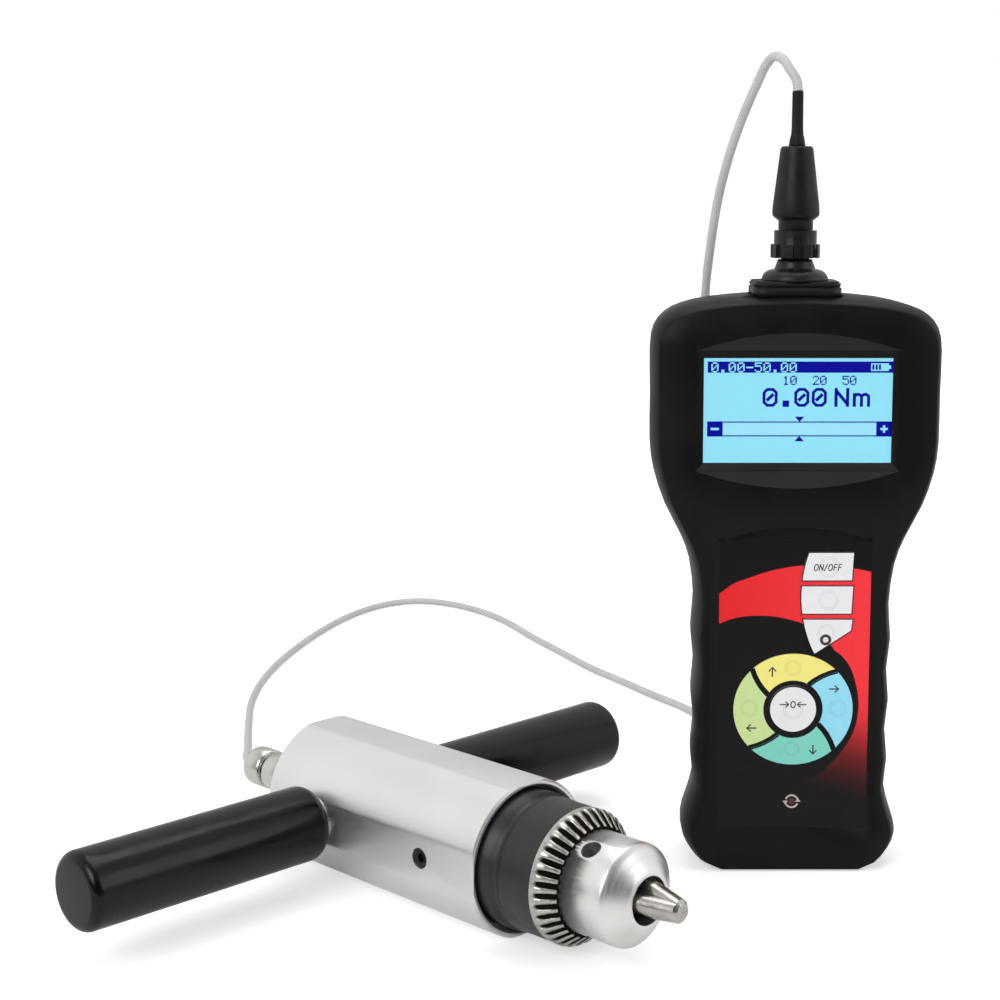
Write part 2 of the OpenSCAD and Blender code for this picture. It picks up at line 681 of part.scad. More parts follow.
module socket_shell() {
    dome_arc = [for (i = [0 : 6]) let (a = 90 * i / 6)
        [dome_top_r + (dome_r - dome_top_r) * cos(a), collar_top + dome_h * sin(a)]];
    color("#262626") at_indicator() translate([0, socket_y, 0]) rotate_extrude()
        polygon(concat([[0, spigot_foot], [spigot_r, spigot_foot], [spigot_r, collar_top]],
            dome_arc, [[cone_top_r, cone_top], [barrel_r, cone_top], [barrel_r, barrel_top],
                [pin_bore_r, barrel_top], [pin_bore_r, cone_top], [0, cone_top]]));
}
pin_bore_r = barrel_r * 0.8;
nut_h = collar_h / 2;
spigot_foot = case_h - case_wall - nut_h - collar_h / 2;
module socket_nut() {
    color("#b9b9b4") at_indicator() translate([0, socket_y, case_h - case_wall - nut_h - drop_gap])
        difference() {
            cylinder(r = spigot_r * nut_r_share, h = nut_h, $fn = 6);
            translate([0, 0, -over]) cylinder(r = spigot_r + seat_gap, h = nut_h + 2 * over);
        }
}
insert_r = ring_r * 0.42;
ring_wall_foot = barrel_top + drop_gap;
ring_top = ring_foot + ring_h;
plug_foot = ring_top + drop_gap;
plug_top = plug_foot + plug_h + ring_h / 3;
module socket_contacts() {
    color("#caa64a") at_indicator() translate([0, socket_y, cone_top]) {
        cylinder(r = pin_bore_r - seat_gap, h = ring_h / 9);
        for (k = [0 : 5]) rotate([0, 0, k * 60]) translate([pin_bore_r / 2, 0, 0])
            cylinder(r = pin_bore_r / 10, h = ring_h / 3);
    }
}
module bayonet_ring() {
    lug_h = ring_h * 0.49;
    waist_r = ring_r * 0.86;
    color("#202020") at_indicator() translate([0, socket_y, ring_foot]) difference() {
        union() {
            cylinder(r = waist_r, h = ring_h);
            for (k = [0 : 7]) rotate([0, 0, k * 45 + 22.5])
                translate([0, -ring_r / 6, 0]) cube([ring_r - ring_r / 60, ring_r / 3, lug_h]);
        }
        translate([0, 0, -over]) cylinder(r = barrel_r + run_gap, h = ring_wall_foot - ring_foot
            + over);
        cylinder(r = insert_r + run_gap, h = ring_h + over);
    }
}
module plug_body() {
    neck_r = plug_r * 0.73;
    neck_h = ring_h / 3;
    color("#1c1c1c") at_indicator() translate([0, socket_y, plug_foot]) rotate_extrude()
        polygon([[insert_r + seat_gap, 0], [neck_r, 0], [neck_r, neck_h],
            [plug_r * 0.97, neck_h + plug_r / 5], [plug_r, neck_h + plug_r / 3.4],
            [plug_r * 0.985, neck_h + plug_h * 0.2], [plug_top_r, plug_h + neck_h * 0.6],
            [plug_top_r * 0.97, plug_h + neck_h * 0.82], [plug_top_r * 0.86, plug_h + neck_h],
            [boot_r + seat_gap, plug_h + neck_h], [boot_r + seat_gap, plug_h],
            [insert_r + seat_gap, plug_h / 2]]);
}
module plug_insert() {
    color("#3a3a3a") at_indicator() translate([0, socket_y, cone_top + ring_h / 2.6])
        cylinder(r = insert_r, h = plug_foot + plug_h / 3 - cone_top - ring_h / 2.6);
}
boot_top = plug_top + boot_h;
module cable_boot() {
    color("#151515") at_indicator() translate([0, socket_y, 0]) rotate_extrude()
        polygon([[0, plug_top - ring_h / 4], [boot_r, plug_top - ring_h / 4], [boot_r, plug_top
            + seat_gap], [boot_r * 1.45, plug_top + seat_gap], [boot_r * 1.3, plug_top + boot_h / 9],
            [boot_r * 1.06, plug_top + boot_h / 4.5], [boot_r, plug_top + boot_h / 3],
            [boot_r * 0.96, boot_top - boot_r / 4], [boot_r * 0.88, boot_top], [0, boot_top]]);
}

// Route of the cable, from the boot over the top of the case, down behind it,
// along the floor in a wide loop and up to the gland
cable_route = [[93.2, 20.4, 271.5], [91.2, 21.9, 275], [89.2, 24.9, 278.5], [86.7, 28.9, 279.8],
    [84.2, 33.4, 277], [81.7, 36.9, 271], [79.2, 40.9, 264.5], [76.2, 44.4, 256], [73, 48, 245],
    [70, 52, 231], [68, 55, 216], [66.5, 58, 199], [66, 60, 175], [66.5, 63, 145], [68, 68, 110],
    [70, 75, 75], [73, 85, 43], [76.5, 98, 18], [79.5, 113, 5], [81.5, 130, 1.8], [82, 150, 1.7],
    [79.5, 174, 1.7], [72, 199, 1.7], [57, 224, 1.7], [44, 247, 1.7], [30, 271, 1.7],
    [16, 301, 1.7], [1, 333, 1.7], [-12, 364, 1.7], [-27, 390, 1.7], [-45, 409, 1.7],
    [-65, 417, 1.7], [-84, 406, 1.7], [-100, 378, 1.7], [-113, 336, 1.7], [-122, 291, 1.7],
    [-126, 255, 1.7], [-126.5, 224, 1.7], [-123.5, 192, 4.6], [-118.5, 157, 8.9], [-112, 114, 14],
    [-108.1, 89.9, 18], [-105.4, 71.9, 21.5], [-103, 56.9, 25.2], [-101.4, 45.9, 28]];
gland_tip = house_rear + gland_l;
seal_out = gland_r / 9;
function sensor_point(p) = [sensor_x + p[0] * cos(sensor_yaw) + p[1] * sin(sensor_yaw),
    sensor_y - p[0] * sin(sensor_yaw) + p[1] * cos(sensor_yaw), axis_h + p[2]];
cable_start = [indicator_x, indicator_y + socket_y, boot_top];
cable_end = sensor_point([-gland_tip - seal_out, -gland_side, gland_up]);
cable_lead = sensor_point([-gland_tip - seal_out - cable_dia, -gland_side, gland_up]);
function smooth(p, i, t) = blend4(keep(p, i - 1), p[i], p[i + 1], keep(p, i + 2), t);
cable_spine = concat([cable_start], cable_route, [cable_lead, cable_end]);
// Rings lie closer where the cable bends
function cable_steps(i) = i < 11 || (i > 16 && i < 20) || (i > 28 && i < 35) || i > 39 ? 2 : 1;
cable_line = concat([cable_spine[0]],
    [for (i = [0 : len(cable_spine) - 2]) let (n = cable_steps(i)) for (k = [1 : n])
        k == n ? cable_spine[i + 1] : smooth(cable_spine, i, k / n)]);
cable_sides = 8;
function unit3(v) = v / norm(v);
function tangent(p, i) = i == 0 ? [0, 0, 1]
    : i == len(p) - 1 ? unit3(cable_end - cable_lead)
    : unit3(unit3(p[i + 1] - p[i]) + unit3(p[i] - p[i - 1]));
// Carries the side vector from ring to ring so that the tube doesn't twist
function carry(p, i, v) = let (t = tangent(p, i), w = unit3(v - (v * t) * t))
    i == len(p) - 1 ? [w] : concat([w], carry(p, i + 1, w));
module sensor_cable() {
    side = carry(cable_line, 0, [1, 0, 0]);
    rings = [for (i = [0 : len(cable_line) - 1]) let (t = tangent(cable_line, i), a = side[i],
        b = cross(t, a)) [for (k = [0 : cable_sides - 1]) let (q = 360 * k / cable_sides)
            cable_line[i] + cable_dia / 2 * (a * cos(q) + b * sin(q))]];
    color("#c9c9c6") skin(rings);
}

// The sensor's own frame: X along its axis towards the chuck, Y along the handle
module at_sensor() {
    translate([sensor_x, sensor_y, axis_h]) rotate([0, 0, -sensor_yaw]) children();
}
// Body of revolution about the sensor axis; points are [place along the axis, radius]
module turned(points) {
    rotate([0, 90, 0]) rotate_extrude() polygon([for (p = points) [p[1], p[0]]]);
}
module along_x(x, r, l) {
    translate([x, 0, 0]) rotate([0, 90, 0]) cylinder(r = r, h = l);
}
module across_y(x, y, r, l) {
    translate([x, y, 0]) rotate([-90, 0, 0]) cylinder(r = r, h = l);
}
module sensor_housing() {
    bar_r = bar_dia / 2;
    c = house_chamfer;
    length = house_front + house_rear;
    mouth_at = house_front - mouth_d;
    color("#c9ccce") at_sensor() difference() {
        intersection() {
            turned([[-house_rear, 0], [-house_rear, bar_r - c], [-house_rear + c, bar_r],
                [house_front - c, bar_r], [house_front, bar_r - c], [house_front, 0]]);
            translate([-house_rear - over, -flat_span / 2, -flat_span / 2])
                cube([length + 2 * over, flat_span, flat_span]);
        }
        turned([[-house_rear - over, 0], [-house_rear - over, bore_r], [mouth_at, bore_r],
            [mouth_at, mouth_r], [house_front - c, mouth_r], [house_front + over, mouth_r + c + over],
            [house_front + over, 0]]);
        across_y(0, -bar_dia, handle_dia / 2 + seat_gap, 2 * bar_dia);
        across_y(grub_at, -bar_dia, grub_r, 2 * bar_dia);
    }
}
post_l = 3;
cap_front = -house_rear + rear_t;
board_at = cap_front + post_l;
amp_t = 1.6;
block_rear = board_at + amp_t + post_l * 1.5;
gland_thread_r = gland_r * 0.56;
module at_gland() {
    translate([0, -gland_side, gland_up]) children();
}
post_places = [[0.4, 0.55], [0.4, -0.55]];
module rear_cap() {
    color("#b9bdc0") at_sensor() difference() {
        union() {
            along_x(-house_rear, bore_r - seat_gap, rear_t);
            for (p = post_places) translate([0, p[0] * bore_r, p[1] * bore_r])
                along_x(cap_front - over, gland_r / 4, post_l + over);
        }
        at_gland() along_x(-house_rear - over, gland_thread_r + seat_gap, rear_t + 2 * over);
        for (s = [-1, 1]) translate([0, bore_r / 2, s * bore_r / 2])
            along_x(-house_rear - over, gland_r / 5, rear_t / 2 + over);
    }
}
gland_groove = gland_l / 16;
gland_body_l = gland_l * 0.62;
module gland_body() {
    x0 = -house_rear - gland_body_l;
    color("#b4b3a8") at_sensor() at_gland() difference() {
        union() {
            turned([[x0, 0], [x0, gland_r * 0.84], [x0 + gland_groove, gland_r * 0.84],
                [x0 + gland_groove, gland_r * 0.94], [x0 + gland_groove * 1.5, gland_r],
                [-house_rear - gland_groove * 2.6, gland_r], [-house_rear - gland_groove * 2.2,
                gland_r * 0.9], [-house_rear, gland_r * 0.9], [-house_rear, 0]]);
            along_x(-house_rear - over, gland_thread_r, rear_t + over);
        }
        along_x(x0 - over, cable_dia / 2 + seal_out, gland_l + rear_t);
    }
}
module gland_nut() {
    x1 = -house_rear - gland_body_l;
    color("#b4b3a8") at_sensor() at_gland() turned(concat(
        [[x1, seal_r + seat_gap], [x1, gland_r * 0.9], [x1 - gland_groove * 0.5, gland_r]],
        [for (i = [0 : 5]) let (a = 90 * i / 5)
            [-gland_tip + gland_r * 0.45 * (1 - sin(a)), gland_r * (0.62 + 0.38 * cos(a))]],
        [[-gland_tip, seal_r + seat_gap]]));
}
seal_r = gland_r * 0.5;
module gland_seal() {
    color("#3a3a3a") at_sensor() at_gland()
        along_x(-gland_tip - seal_out, seal_r, gland_l - gland_body_l + seal_out);
}
bearing_at = grub_at - bearing_w / 2;
chuck_rear = bearing_at + bearing_w + post_l * 1.2;
block_front = handle_dia * 0.88;
hub_at = bearing_at - bearing_w / 2;
module torsion_shaft() {
    shoulder_r = journal_r + ball_r / 2;
    color("#8f9498") at_sensor() difference() {
        union() {
            turned([[block_rear, 0], [block_rear, bore_r - seat_gap],
                [block_front, bore_r - seat_gap], [block_front, 0]]);
            translate([block_front - over, -gauge_bar_w / 2, -gauge_bar_w / 2])
                cube([hub_at - block_front + 2 * over, gauge_bar_w, gauge_bar_w]);
            turned([[hub_at, 0], [hub_at, shoulder_r], [bearing_at, shoulder_r],
                [bearing_at, journal_r], [chuck_rear, journal_r], [chuck_rear, stub_r],
                [chuck_rear + stub_l, stub_r], [chuck_rear + stub_l, 0]]);
        }
        across_y(0, -bar_dia, handle_dia / 2 + seat_gap, 2 * bar_dia);
    }
}
module strain_gauges() {
    gauge_l = gauge_bar_w * 0.8;
    gauge_t = gauge_bar_w / 60;
    color("#c58f3c") at_sensor() for (k = [0 : 3]) rotate([90 * k, 0, 0])
        translate([(block_front + hub_at - gauge_l) / 2, -gauge_l / 2, gauge_bar_w / 2])
            cube([gauge_l, gauge_l, gauge_t]);
}
module amplifier_board() {
    color("#1f6b3a") at_sensor() difference() {
        along_x(board_at, bore_r - rear_t / 2, amp_t);
        at_gland() along_x(board_at - over, gland_thread_r, amp_t + 2 * over);
    }
}
ball_count = 11;
ball_gap = 0.1;
inner_ring_r = journal_r + ball_r * 0.9;
module front_bearing() {
    outer_ring_r = inner_ring_r + 2 * (ball_r + ball_gap);
    color("#a8abad") at_sensor() {
        turned([[bearing_at, journal_r + seat_gap], [bearing_at, inner_ring_r],
            [bearing_at + bearing_w, inner_ring_r], [bearing_at + bearing_w, journal_r + seat_gap]]);
        turned([[bearing_at, outer_ring_r], [bearing_at, bore_r - seat_gap],
            [bearing_at + bearing_w, bore_r - seat_gap], [bearing_at + bearing_w, outer_ring_r]]);
        for (k = [0 : ball_count - 1]) rotate([360 * k / ball_count, 0, 0])
            translate([grub_at, 0, inner_ring_r + ball_r + ball_gap]) sphere(r = ball_r);
    }
}
module grub_screws() {
    grub_l = axis_h - bore_r - house_chamfer;
    color("#1b1b1b") at_sensor() for (s = [0, 180]) rotate([s, 0, 0]) difference() {
        across_y(grub_at, bore_r, grub_r - seat_gap, grub_l);
        translate([grub_at, bore_r + grub_l / 3, 0]) rotate([-90, 0, 0])
            cylinder(r = grub_r / 2, h = grub_l, $fn = 6);
    }
}
handle_half = handle_span / 2;
bar_half = handle_half - grip_end_t;
module handle_bar() {
    c = house_chamfer;
    r = handle_dia / 2;
    color("#b9bdc0") at_sensor() translate([0, handle_shift, 0]) rotate([-90, 0, 0]) rotate_extrude()
        polygon([[0, -bar_half], [r - c, -bar_half], [r, -bar_half + c], [r, bar_half - c],
            [r - c, bar_half], [0, bar_half]]);
}
module grip(side) {
    hole = handle_dia / 2 + seat_gap;
    foot = flat_span / 2 + grip_gap;
    foot_round = grip_r * 0.36;
    tip_round = grip_r * 0.26;
    color("#0c0c0c") at_sensor() translate([0, handle_shift, 0]) rotate([-90 * side, 0, 0])
        rotate_extrude()
        polygon(concat([[hole, foot]],
            arc_points(grip_r - foot_round, foot + foot_round, foot_round, -90, 0, 6),
            arc_points(grip_r - tip_round, handle_half - tip_round, tip_round, 0, 90, 6),
            [[0, handle_half], [0, bar_half + seat_gap], [hole, bar_half + seat_gap]]));
}
module left_grip() { grip(-1); }
module right_grip() { grip(1); }

// Chuck
nose_at = nose_front - nose_r * 1.52;
nut_seat = nose_at - ring_gear_r * 0.385;
pilot_at = nose_front - nose_r - pilot_dia * 0.03;
pilot_turn = 30;
gear_at = nut_seat + ring_gear_r * 0.155;
gear_land = ring_gear_r / 9;
gear_front = nose_at + ring_gear_r * 0.12;
gear_front_r = nose_r + ring_gear_r / 18;
seat_r = nose_r * 0.815;
nut_r = chuck_rear_r + jaw_r * 0.4;
jaw_turns = [for (k = [0 : 2]) pilot_turn + 60 + 120 * k];
jaw_tip_in = jaw_r * 0.08;
jaw_gap = 0.05;
module jaw_rod(r, l, ahead) {
    translate([jaw_tip, 0, jaw_tip_in]) rotate([0, -(90 - jaw_slope), 0])
        translate([0, 0, -ahead]) cylinder(r = r, h = l + ahead);
}
cone_at = nose_front - nose_r * 0.35;
rim_w = jaw_r * 0.85;
module chuck_body() {
    color("#b7b8b4") at_sensor() difference() {
        turned([[chuck_rear, 0], [chuck_rear, chuck_rear_r], [nut_seat, chuck_rear_r],
            [nut_seat, seat_r], [nose_at, seat_r], [nose_at, nose_r], [cone_at - rim_w / 4, nose_r],
            [cone_at, nose_r - rim_w / 12], [nose_front - rim_w * 0.45, nose_bore_r + rim_w],
            [nose_front, nose_bore_r + rim_w / 4], [nose_front, 0]]);
        along_x(chuck_rear - over, stub_r + seat_gap, stub_l + 2 * over);
        along_x(nose_at, nose_bore_r, nose_front);
        for (a = jaw_turns) rotate([a, 0, 0]) jaw_rod(jaw_r + run_gap, 2 * jaw_l, jaw_l / 4);
        for (k = [0 : 2]) rotate([pilot_turn + 120 * k, 0, 0])
            translate([pilot_at, 0, nose_bore_r - over]) cylinder(r = pilot_dia / 2, h = nose_r);
    }
}
sleeve_rear = chuck_rear + mouth_d * 0.68;
journal_at = sleeve_rear + mouth_d * 0.67;
journal_front = nut_seat - drop_gap / 2;
module chuck_sleeve() {
    groove_at = sleeve_rear + mouth_d * 0.61;
    groove_w = mouth_d / 7;
    groove_d = sleeve_r / 24;
    flare = gear_at - groove_at - groove_w;
    color("#2c2c2e") at_sensor() turned([[sleeve_rear, sleeve_r * 0.975],
        [sleeve_rear + groove_w / 3, sleeve_r], [groove_at - groove_w / 4, sleeve_r],
        [groove_at, sleeve_r - groove_d], [groove_at + groove_w, sleeve_r - groove_d],
        [groove_at + groove_w * 1.3, sleeve_r - groove_d * 0.55],
        [groove_at + groove_w + flare * 0.4, sleeve_r - groove_d * 0.8],
        [groove_at + groove_w + flare * 0.72, sleeve_r - groove_d * 0.75],
        [gear_at, ring_gear_r - gear_land / 10], [gear_at, nut_r + seat_gap],
        [journal_front, nut_r + seat_gap], [journal_front, chuck_rear_r + run_gap],
        [journal_at, chuck_rear_r + run_gap], [journal_at, sleeve_r - sleeve_r / 8],
        [sleeve_rear, sleeve_r - sleeve_r / 8]]);
}
module toothed_ring() {
    slope = atan((ring_gear_r - gear_front_r) / (gear_front - gear_at - gear_land));
    tooth_r = ring_gear_r * PI / gear_teeth / 2;
    start = gear_at + gear_land;
    color("#c4c5c2") at_sensor() difference() {
        turned([[gear_at, nut_r + seat_gap], [gear_at, ring_gear_r], [start, ring_gear_r],
            [gear_front, gear_front_r], [gear_front, nose_r + 2 * run_gap],
            [nose_at + drop_gap / 2, nose_r + 2 * run_gap], [nose_at + drop_gap / 2,
            nut_r + seat_gap]]);
        for (k = [0 : gear_teeth - 1]) rotate([360 * k / gear_teeth, 0, 0])
            translate([start, 0, ring_gear_r + tooth_r * 0.35]) rotate([0, 90 + slope * 1.12, 0])
                translate([0, 0, -gear_land / 3]) cylinder(r = tooth_r, h = ring_gear_r / 2);
    }
}
module scroll_nut() {
    thread_r = jaw_tip_in + (jaw_tip - nut_seat) * tan(jaw_slope) + jaw_r / cos(jaw_slope)
        + 3 * run_gap;
    front_r = jaw_tip_in + (jaw_tip - nose_at) * tan(jaw_slope) + jaw_r / cos(jaw_slope)
        + 3 * run_gap;
    color("#8a8d8f") at_sensor() turned([[nut_seat, thread_r], [nut_seat, nut_r],
        [nose_at - drop_gap, nut_r], [nose_at - drop_gap, max(front_r, seat_r + run_gap)]]);
}
module jaw(k) {
    wide = 4 * jaw_r;
    tip_r = jaw_tip_in + jaw_r * 1.04;
    color("#b3b4b0") at_sensor() rotate([jaw_turns[k], 0, 0]) intersection() {
        jaw_rod(jaw_r, jaw_l, jaw_r);
        translate([0, 0, jaw_gap]) rotate([0, 90, 0]) rotate([0, 0, 90])
            linear_extrude(jaw_tip) polygon([[0, 0], [wide, wide * tan(30)],
                [wide, 2 * nose_r], [-wide, 2 * nose_r], [-wide, wide * tan(30)]]);
        turned([[0, 0], [0, 2 * nose_r], [jaw_tip - jaw_r, 2 * nose_r], [jaw_tip - jaw_r / 3,
            tip_r], [jaw_tip, tip_r - jaw_r / 3], [jaw_tip, 0]]);
    }
}
module jaw_1() { jaw(0); }
module jaw_2() { jaw(1); }
module jaw_3() { jaw(2); }

front_cover();
rear_cover();
battery_door();
door_screw();
case_screws();
board_screws();
display_lens();
lcd_module();
keypad_sheet();
power_key();
unit_key();
light_key();
up_key();
right_key();
down_key();
left_key();
enter_key();
main_board();
dome_switches();
battery_cells();
battery_contacts();
socket_collar();
socket_shell();
socket_nut();
socket_contacts();
bayonet_ring();
plug_body();
plug_insert();
cable_boot();
sensor_cable();
sensor_housing();
rear_cap();
gland_body();
gland_nut();
gland_seal();
torsion_shaft();
strain_gauges();
amplifier_board();
front_bearing();
grub_screws();
handle_bar();
left_grip();
right_grip();
chuck_body();
chuck_sleeve();
toothed_ring();
scroll_nut();
jaw_1();
jaw_2();
jaw_3();
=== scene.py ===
"""Looks of the hand-held torque meter: the indicator, the sensor with its T-handle and chuck, and
the cable.

Lengths are written in millimetres and turned into metres where a mesh is made.
"""

import json
import math

import bmesh
import bpy
import numpy as np
from mathutils.bvhtree import BVHTree
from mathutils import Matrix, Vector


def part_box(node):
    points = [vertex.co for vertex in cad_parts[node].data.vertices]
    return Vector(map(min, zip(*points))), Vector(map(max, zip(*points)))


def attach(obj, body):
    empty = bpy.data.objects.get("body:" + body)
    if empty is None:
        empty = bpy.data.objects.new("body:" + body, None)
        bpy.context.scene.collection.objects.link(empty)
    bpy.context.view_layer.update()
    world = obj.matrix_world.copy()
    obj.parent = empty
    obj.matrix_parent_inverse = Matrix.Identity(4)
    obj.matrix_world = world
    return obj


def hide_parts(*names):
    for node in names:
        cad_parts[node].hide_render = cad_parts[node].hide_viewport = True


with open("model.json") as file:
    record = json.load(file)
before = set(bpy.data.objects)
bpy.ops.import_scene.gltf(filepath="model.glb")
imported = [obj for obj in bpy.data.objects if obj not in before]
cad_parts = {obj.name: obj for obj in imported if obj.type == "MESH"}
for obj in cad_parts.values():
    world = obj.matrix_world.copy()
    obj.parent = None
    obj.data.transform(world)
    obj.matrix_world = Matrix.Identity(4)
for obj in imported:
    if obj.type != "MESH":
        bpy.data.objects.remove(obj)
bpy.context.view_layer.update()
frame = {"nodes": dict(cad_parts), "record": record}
nodes = frame["nodes"]
slot_of_node = {part["node"]: part["material_slot"] for part in frame["record"]["subparts"]}
MM = 0.001

# Places of the two halves, as the solids have them
INDICATOR_X = 93.7
INDICATOR_Y = 3.9
SENSOR_X = -51.8
SENSOR_Y = 4.9
SENSOR_YAW = math.radians(44.4)
SENSOR_TURN = (0.0, 0.0, -SENSOR_YAW)
AXIS_HEIGHT = 24.5

# Small distances: between seated pieces, between points that are one, from the object down to the
# floor, and from one dot of the display to the next
SEAT_GAP = 0.02
JOIN_DISTANCE = 0.0002
FLOOR_DROP = 0.2
DOT = 0.488


def indicator_place(x, y, z):
    """Right of the case's middle, back from its face and above its base, to the shared frame in
    metres."""
    x, y, z = np.broadcast_arrays(x, y, z)
    return np.stack([x + INDICATOR_X, y + INDICATOR_Y, z], -1) * MM


def sensor_place(along, beside, above):
    """Along the sensor's axis, beside it along the handle and above it, to the shared frame in
    metres."""
    along, beside, above = np.broadcast_arrays(along, beside, above)
    turn, lean = math.cos(SENSOR_YAW), math.sin(SENSOR_YAW)
    x = SENSOR_X + along * turn + beside * lean
    y = SENSOR_Y - along * lean + beside * turn
    return np.stack([x, y, above + AXIS_HEIGHT], -1) * MM


# ------------------------ nodes

def joined(tree, operation, first, second):
    """One value out of two."""
    node = tree.nodes.new("ShaderNodeMath")
    node.operation = operation
    tree.links.new(first, node.inputs[0])
    tree.links.new(second, node.inputs[1])
    return node.outputs[0]


def spread(tree, value, low, high, near=0.35, far=0.65, kind="LINEAR"):
    """Maps a value between near and far to the range from low to high."""
    fit = tree.nodes.new("ShaderNodeMapRange")
    fit.interpolation_type = kind
    for socket, number in zip(("From Min", "From Max", "To Min", "To Max"), (near, far, low, high)):
        fit.inputs[socket].default_value = number
    tree.links.new(value, fit.inputs["Value"])
    return fit.outputs["Result"]


def eased(tree, value, start, end, low, high):
    """Smooth change from low to high while the value goes from start to end."""
    return spread(tree, value, low, high, start, end, "SMOOTHSTEP")


def rays_of(tree, *kinds):
    """1 for rays of the given kinds, otherwise 0."""
    path = tree.nodes.new("ShaderNodeLightPath")
    total = path.outputs[kinds[0]]
    for kind in kinds[1:]:
        total = joined(tree, "MAXIMUM", total, path.outputs[kind])
    return total


def axes_of(tree, output="Object"):
    """X, Y and Z of the piece's own coordinates, or of another kind of them."""
    place = tree.nodes.new("ShaderNodeTexCoord")
    split = tree.nodes.new("ShaderNodeSeparateXYZ")
    tree.links.new(place.outputs[output], split.inputs["Vector"])
    return split.outputs


def mixed(tree, share, first, second):
    """Colour between two: the first where the share is 0, the second where it is 1. Each is a plain
    colour or comes out of a node."""
    mix = tree.nodes.new("ShaderNodeMix")
    mix.data_type = "RGBA"
    tree.links.new(share, mix.inputs[0])
    for socket, colour in ((mix.inputs[6], first), (mix.inputs[7], second)):
        if isinstance(colour, tuple):
            socket.default_value = (*colour, 1.0)
        else:
            tree.links.new(colour, socket)
    return mix.outputs[2]


# ------------------------ camera, floor and light

def placed(name, data):
    """Object in the scene for a camera, a lamp, a mesh or a curve."""
    thing = bpy.data.objects.new(name, data)
    bpy.context.collection.objects.link(thing)
    return thing


def place_camera():
    """Camera of the photograph: a little above the indicator, looking slightly down."""
    lens = bpy.data.cameras.new("photo_camera")
    camera = placed("photo_camera", lens)
    lens.lens = 68.0
    lens.sensor_width = 36.0
    lens.shift_x = -0.05
    lens.shift_y = -0.06
    lens.clip_start = 0.02
    lens.clip_end = 60.0
    camera.location = (0.0102, -0.6261, 0.240)
    camera.rotation_euler = (math.radians(82.0), 0.0, 0.0)
    bpy.context.scene.camera = camera


def light_world(ambient=0.45, front_dim=0.08, back_dim=0.6, top_dim=0.6):
    """White surroundings, a weaker even light from all sides, and for polished surfaces a studio
    that is dark in front, bright at the sides and a little dimmer behind and overhead."""
    world = bpy.data.worlds.new("studio")
    bpy.context.scene.world = world
    world.use_nodes = True
    tree = world.node_tree
    back = tree.nodes["Background"]
    back.inputs["Color"].default_value = (1.0, 1.0, 1.0, 1.0)
    way = axes_of(tree, "Generated")
    ahead = eased(tree, way["Y"], -0.9, 0.1, front_dim, 1.0)
    behind = eased(tree, way["Y"], 0.5, 0.97, 1.0, back_dim)
    above = eased(tree, way["Z"], 0.6, 1.0, 1.0, top_dim)
    shown = joined(tree, "MULTIPLY", joined(tree, "MULTIPLY", ahead, behind), above)
    polished = tree.nodes.new("ShaderNodeMapRange")
    tree.links.new(rays_of(tree, "Is Glossy Ray"), polished.inputs["Value"])
    polished.inputs["To Min"].default_value = ambient
    tree.links.new(shown, polished.inputs["To Max"])
    direct = rays_of(tree, "Is Camera Ray", "Is Transmission Ray")
    strength = joined(tree, "MAXIMUM", polished.outputs["Result"], direct)
    tree.links.new(strength, back.inputs["Strength"])


def soft_lamp(name, place, aim, size, power):
    """Large square lamp at a place, turned towards a point, both in metres."""
    lamp = bpy.data.lights.new(name, "AREA")
    lamp.size = size
    lamp.energy = power
    holder = placed(name, lamp)
    start, end = np.array(place), np.array(aim)
    ahead = (end - start) / np.linalg.norm(end - start)
    holder.location = place
    holder.rotation_euler = (math.acos(-ahead[2]), 0.0, math.atan2(ahead[0], -ahead[1]) + math.pi)


def lay_floor(half=4.0):
    """White floor that shows as white to the camera and keeps the soft shadow of the object; its
    glow grows with the distance, and polished surfaces see it end in the dark in front."""
    mesh = bpy.data.meshes.new("floor")
    corners = np.array([[-half, -half, 0], [half, -half, 0], [half, half, 0], [-half, half, 0]])
    mesh.from_pydata((corners - [0, 0, FLOOR_DROP * MM]).tolist(), [], [[0, 1, 2, 3]])
    floor = placed("floor", mesh)
    paint = bpy.data.materials.new("floor_white")
    paint.use_nodes = True
    tree = paint.node_tree
    shader = tree.nodes["Principled BSDF"]
    shader.inputs["Base Color"].default_value = (0.82, 0.82, 0.82, 1.0)
    shader.inputs["Roughness"].default_value = 0.9
    shader.inputs["Specular IOR Level"].default_value = 0.0
    shader.inputs["Emission Color"].default_value = (1.0, 1.0, 1.0, 1.0)
    place = tree.nodes.new("ShaderNodeTexCoord")
    distance = tree.nodes.new("ShaderNodeVectorMath")
    distance.operation = "LENGTH"
    tree.links.new(place.outputs["Object"], distance.inputs[0])
    glow = eased(tree, distance.outputs["Value"], 0.35, 1.8, 0.52, 1.0)
    direct = rays_of(tree, "Is Camera Ray", "Is Transmission Ray")
    glossy = rays_of(tree, "Is Glossy Ray")
    mirrored = eased(tree, glossy, 0.0, 1.0, 0.0, 0.12)
    shown = joined(tree, "MAXIMUM", joined(tree, "MULTIPLY", direct, glow), mirrored)
    tree.links.new(shown, shader.inputs["Emission Strength"])
    room = eased(tree, axes_of(tree)["Y"], -0.6, -0.2, 0.92, 0.0)
    dark = tree.nodes.new("ShaderNodeBsdfDiffuse")
    dark.inputs["Color"].default_value = (0.0, 0.0, 0.0, 1.0)
    mix = tree.nodes.new("ShaderNodeMixShader")
    tree.links.new(joined(tree, "MULTIPLY", glossy, room), mix.inputs["Fac"])
    tree.links.new(shader.outputs["BSDF"], mix.inputs[1])
    tree.links.new(dark.outputs["BSDF"], mix.inputs[2])
    tree.links.new(mix.outputs["Shader"], tree.nodes["Material Output"].inputs["Surface"])
    mesh.materials.append(paint)


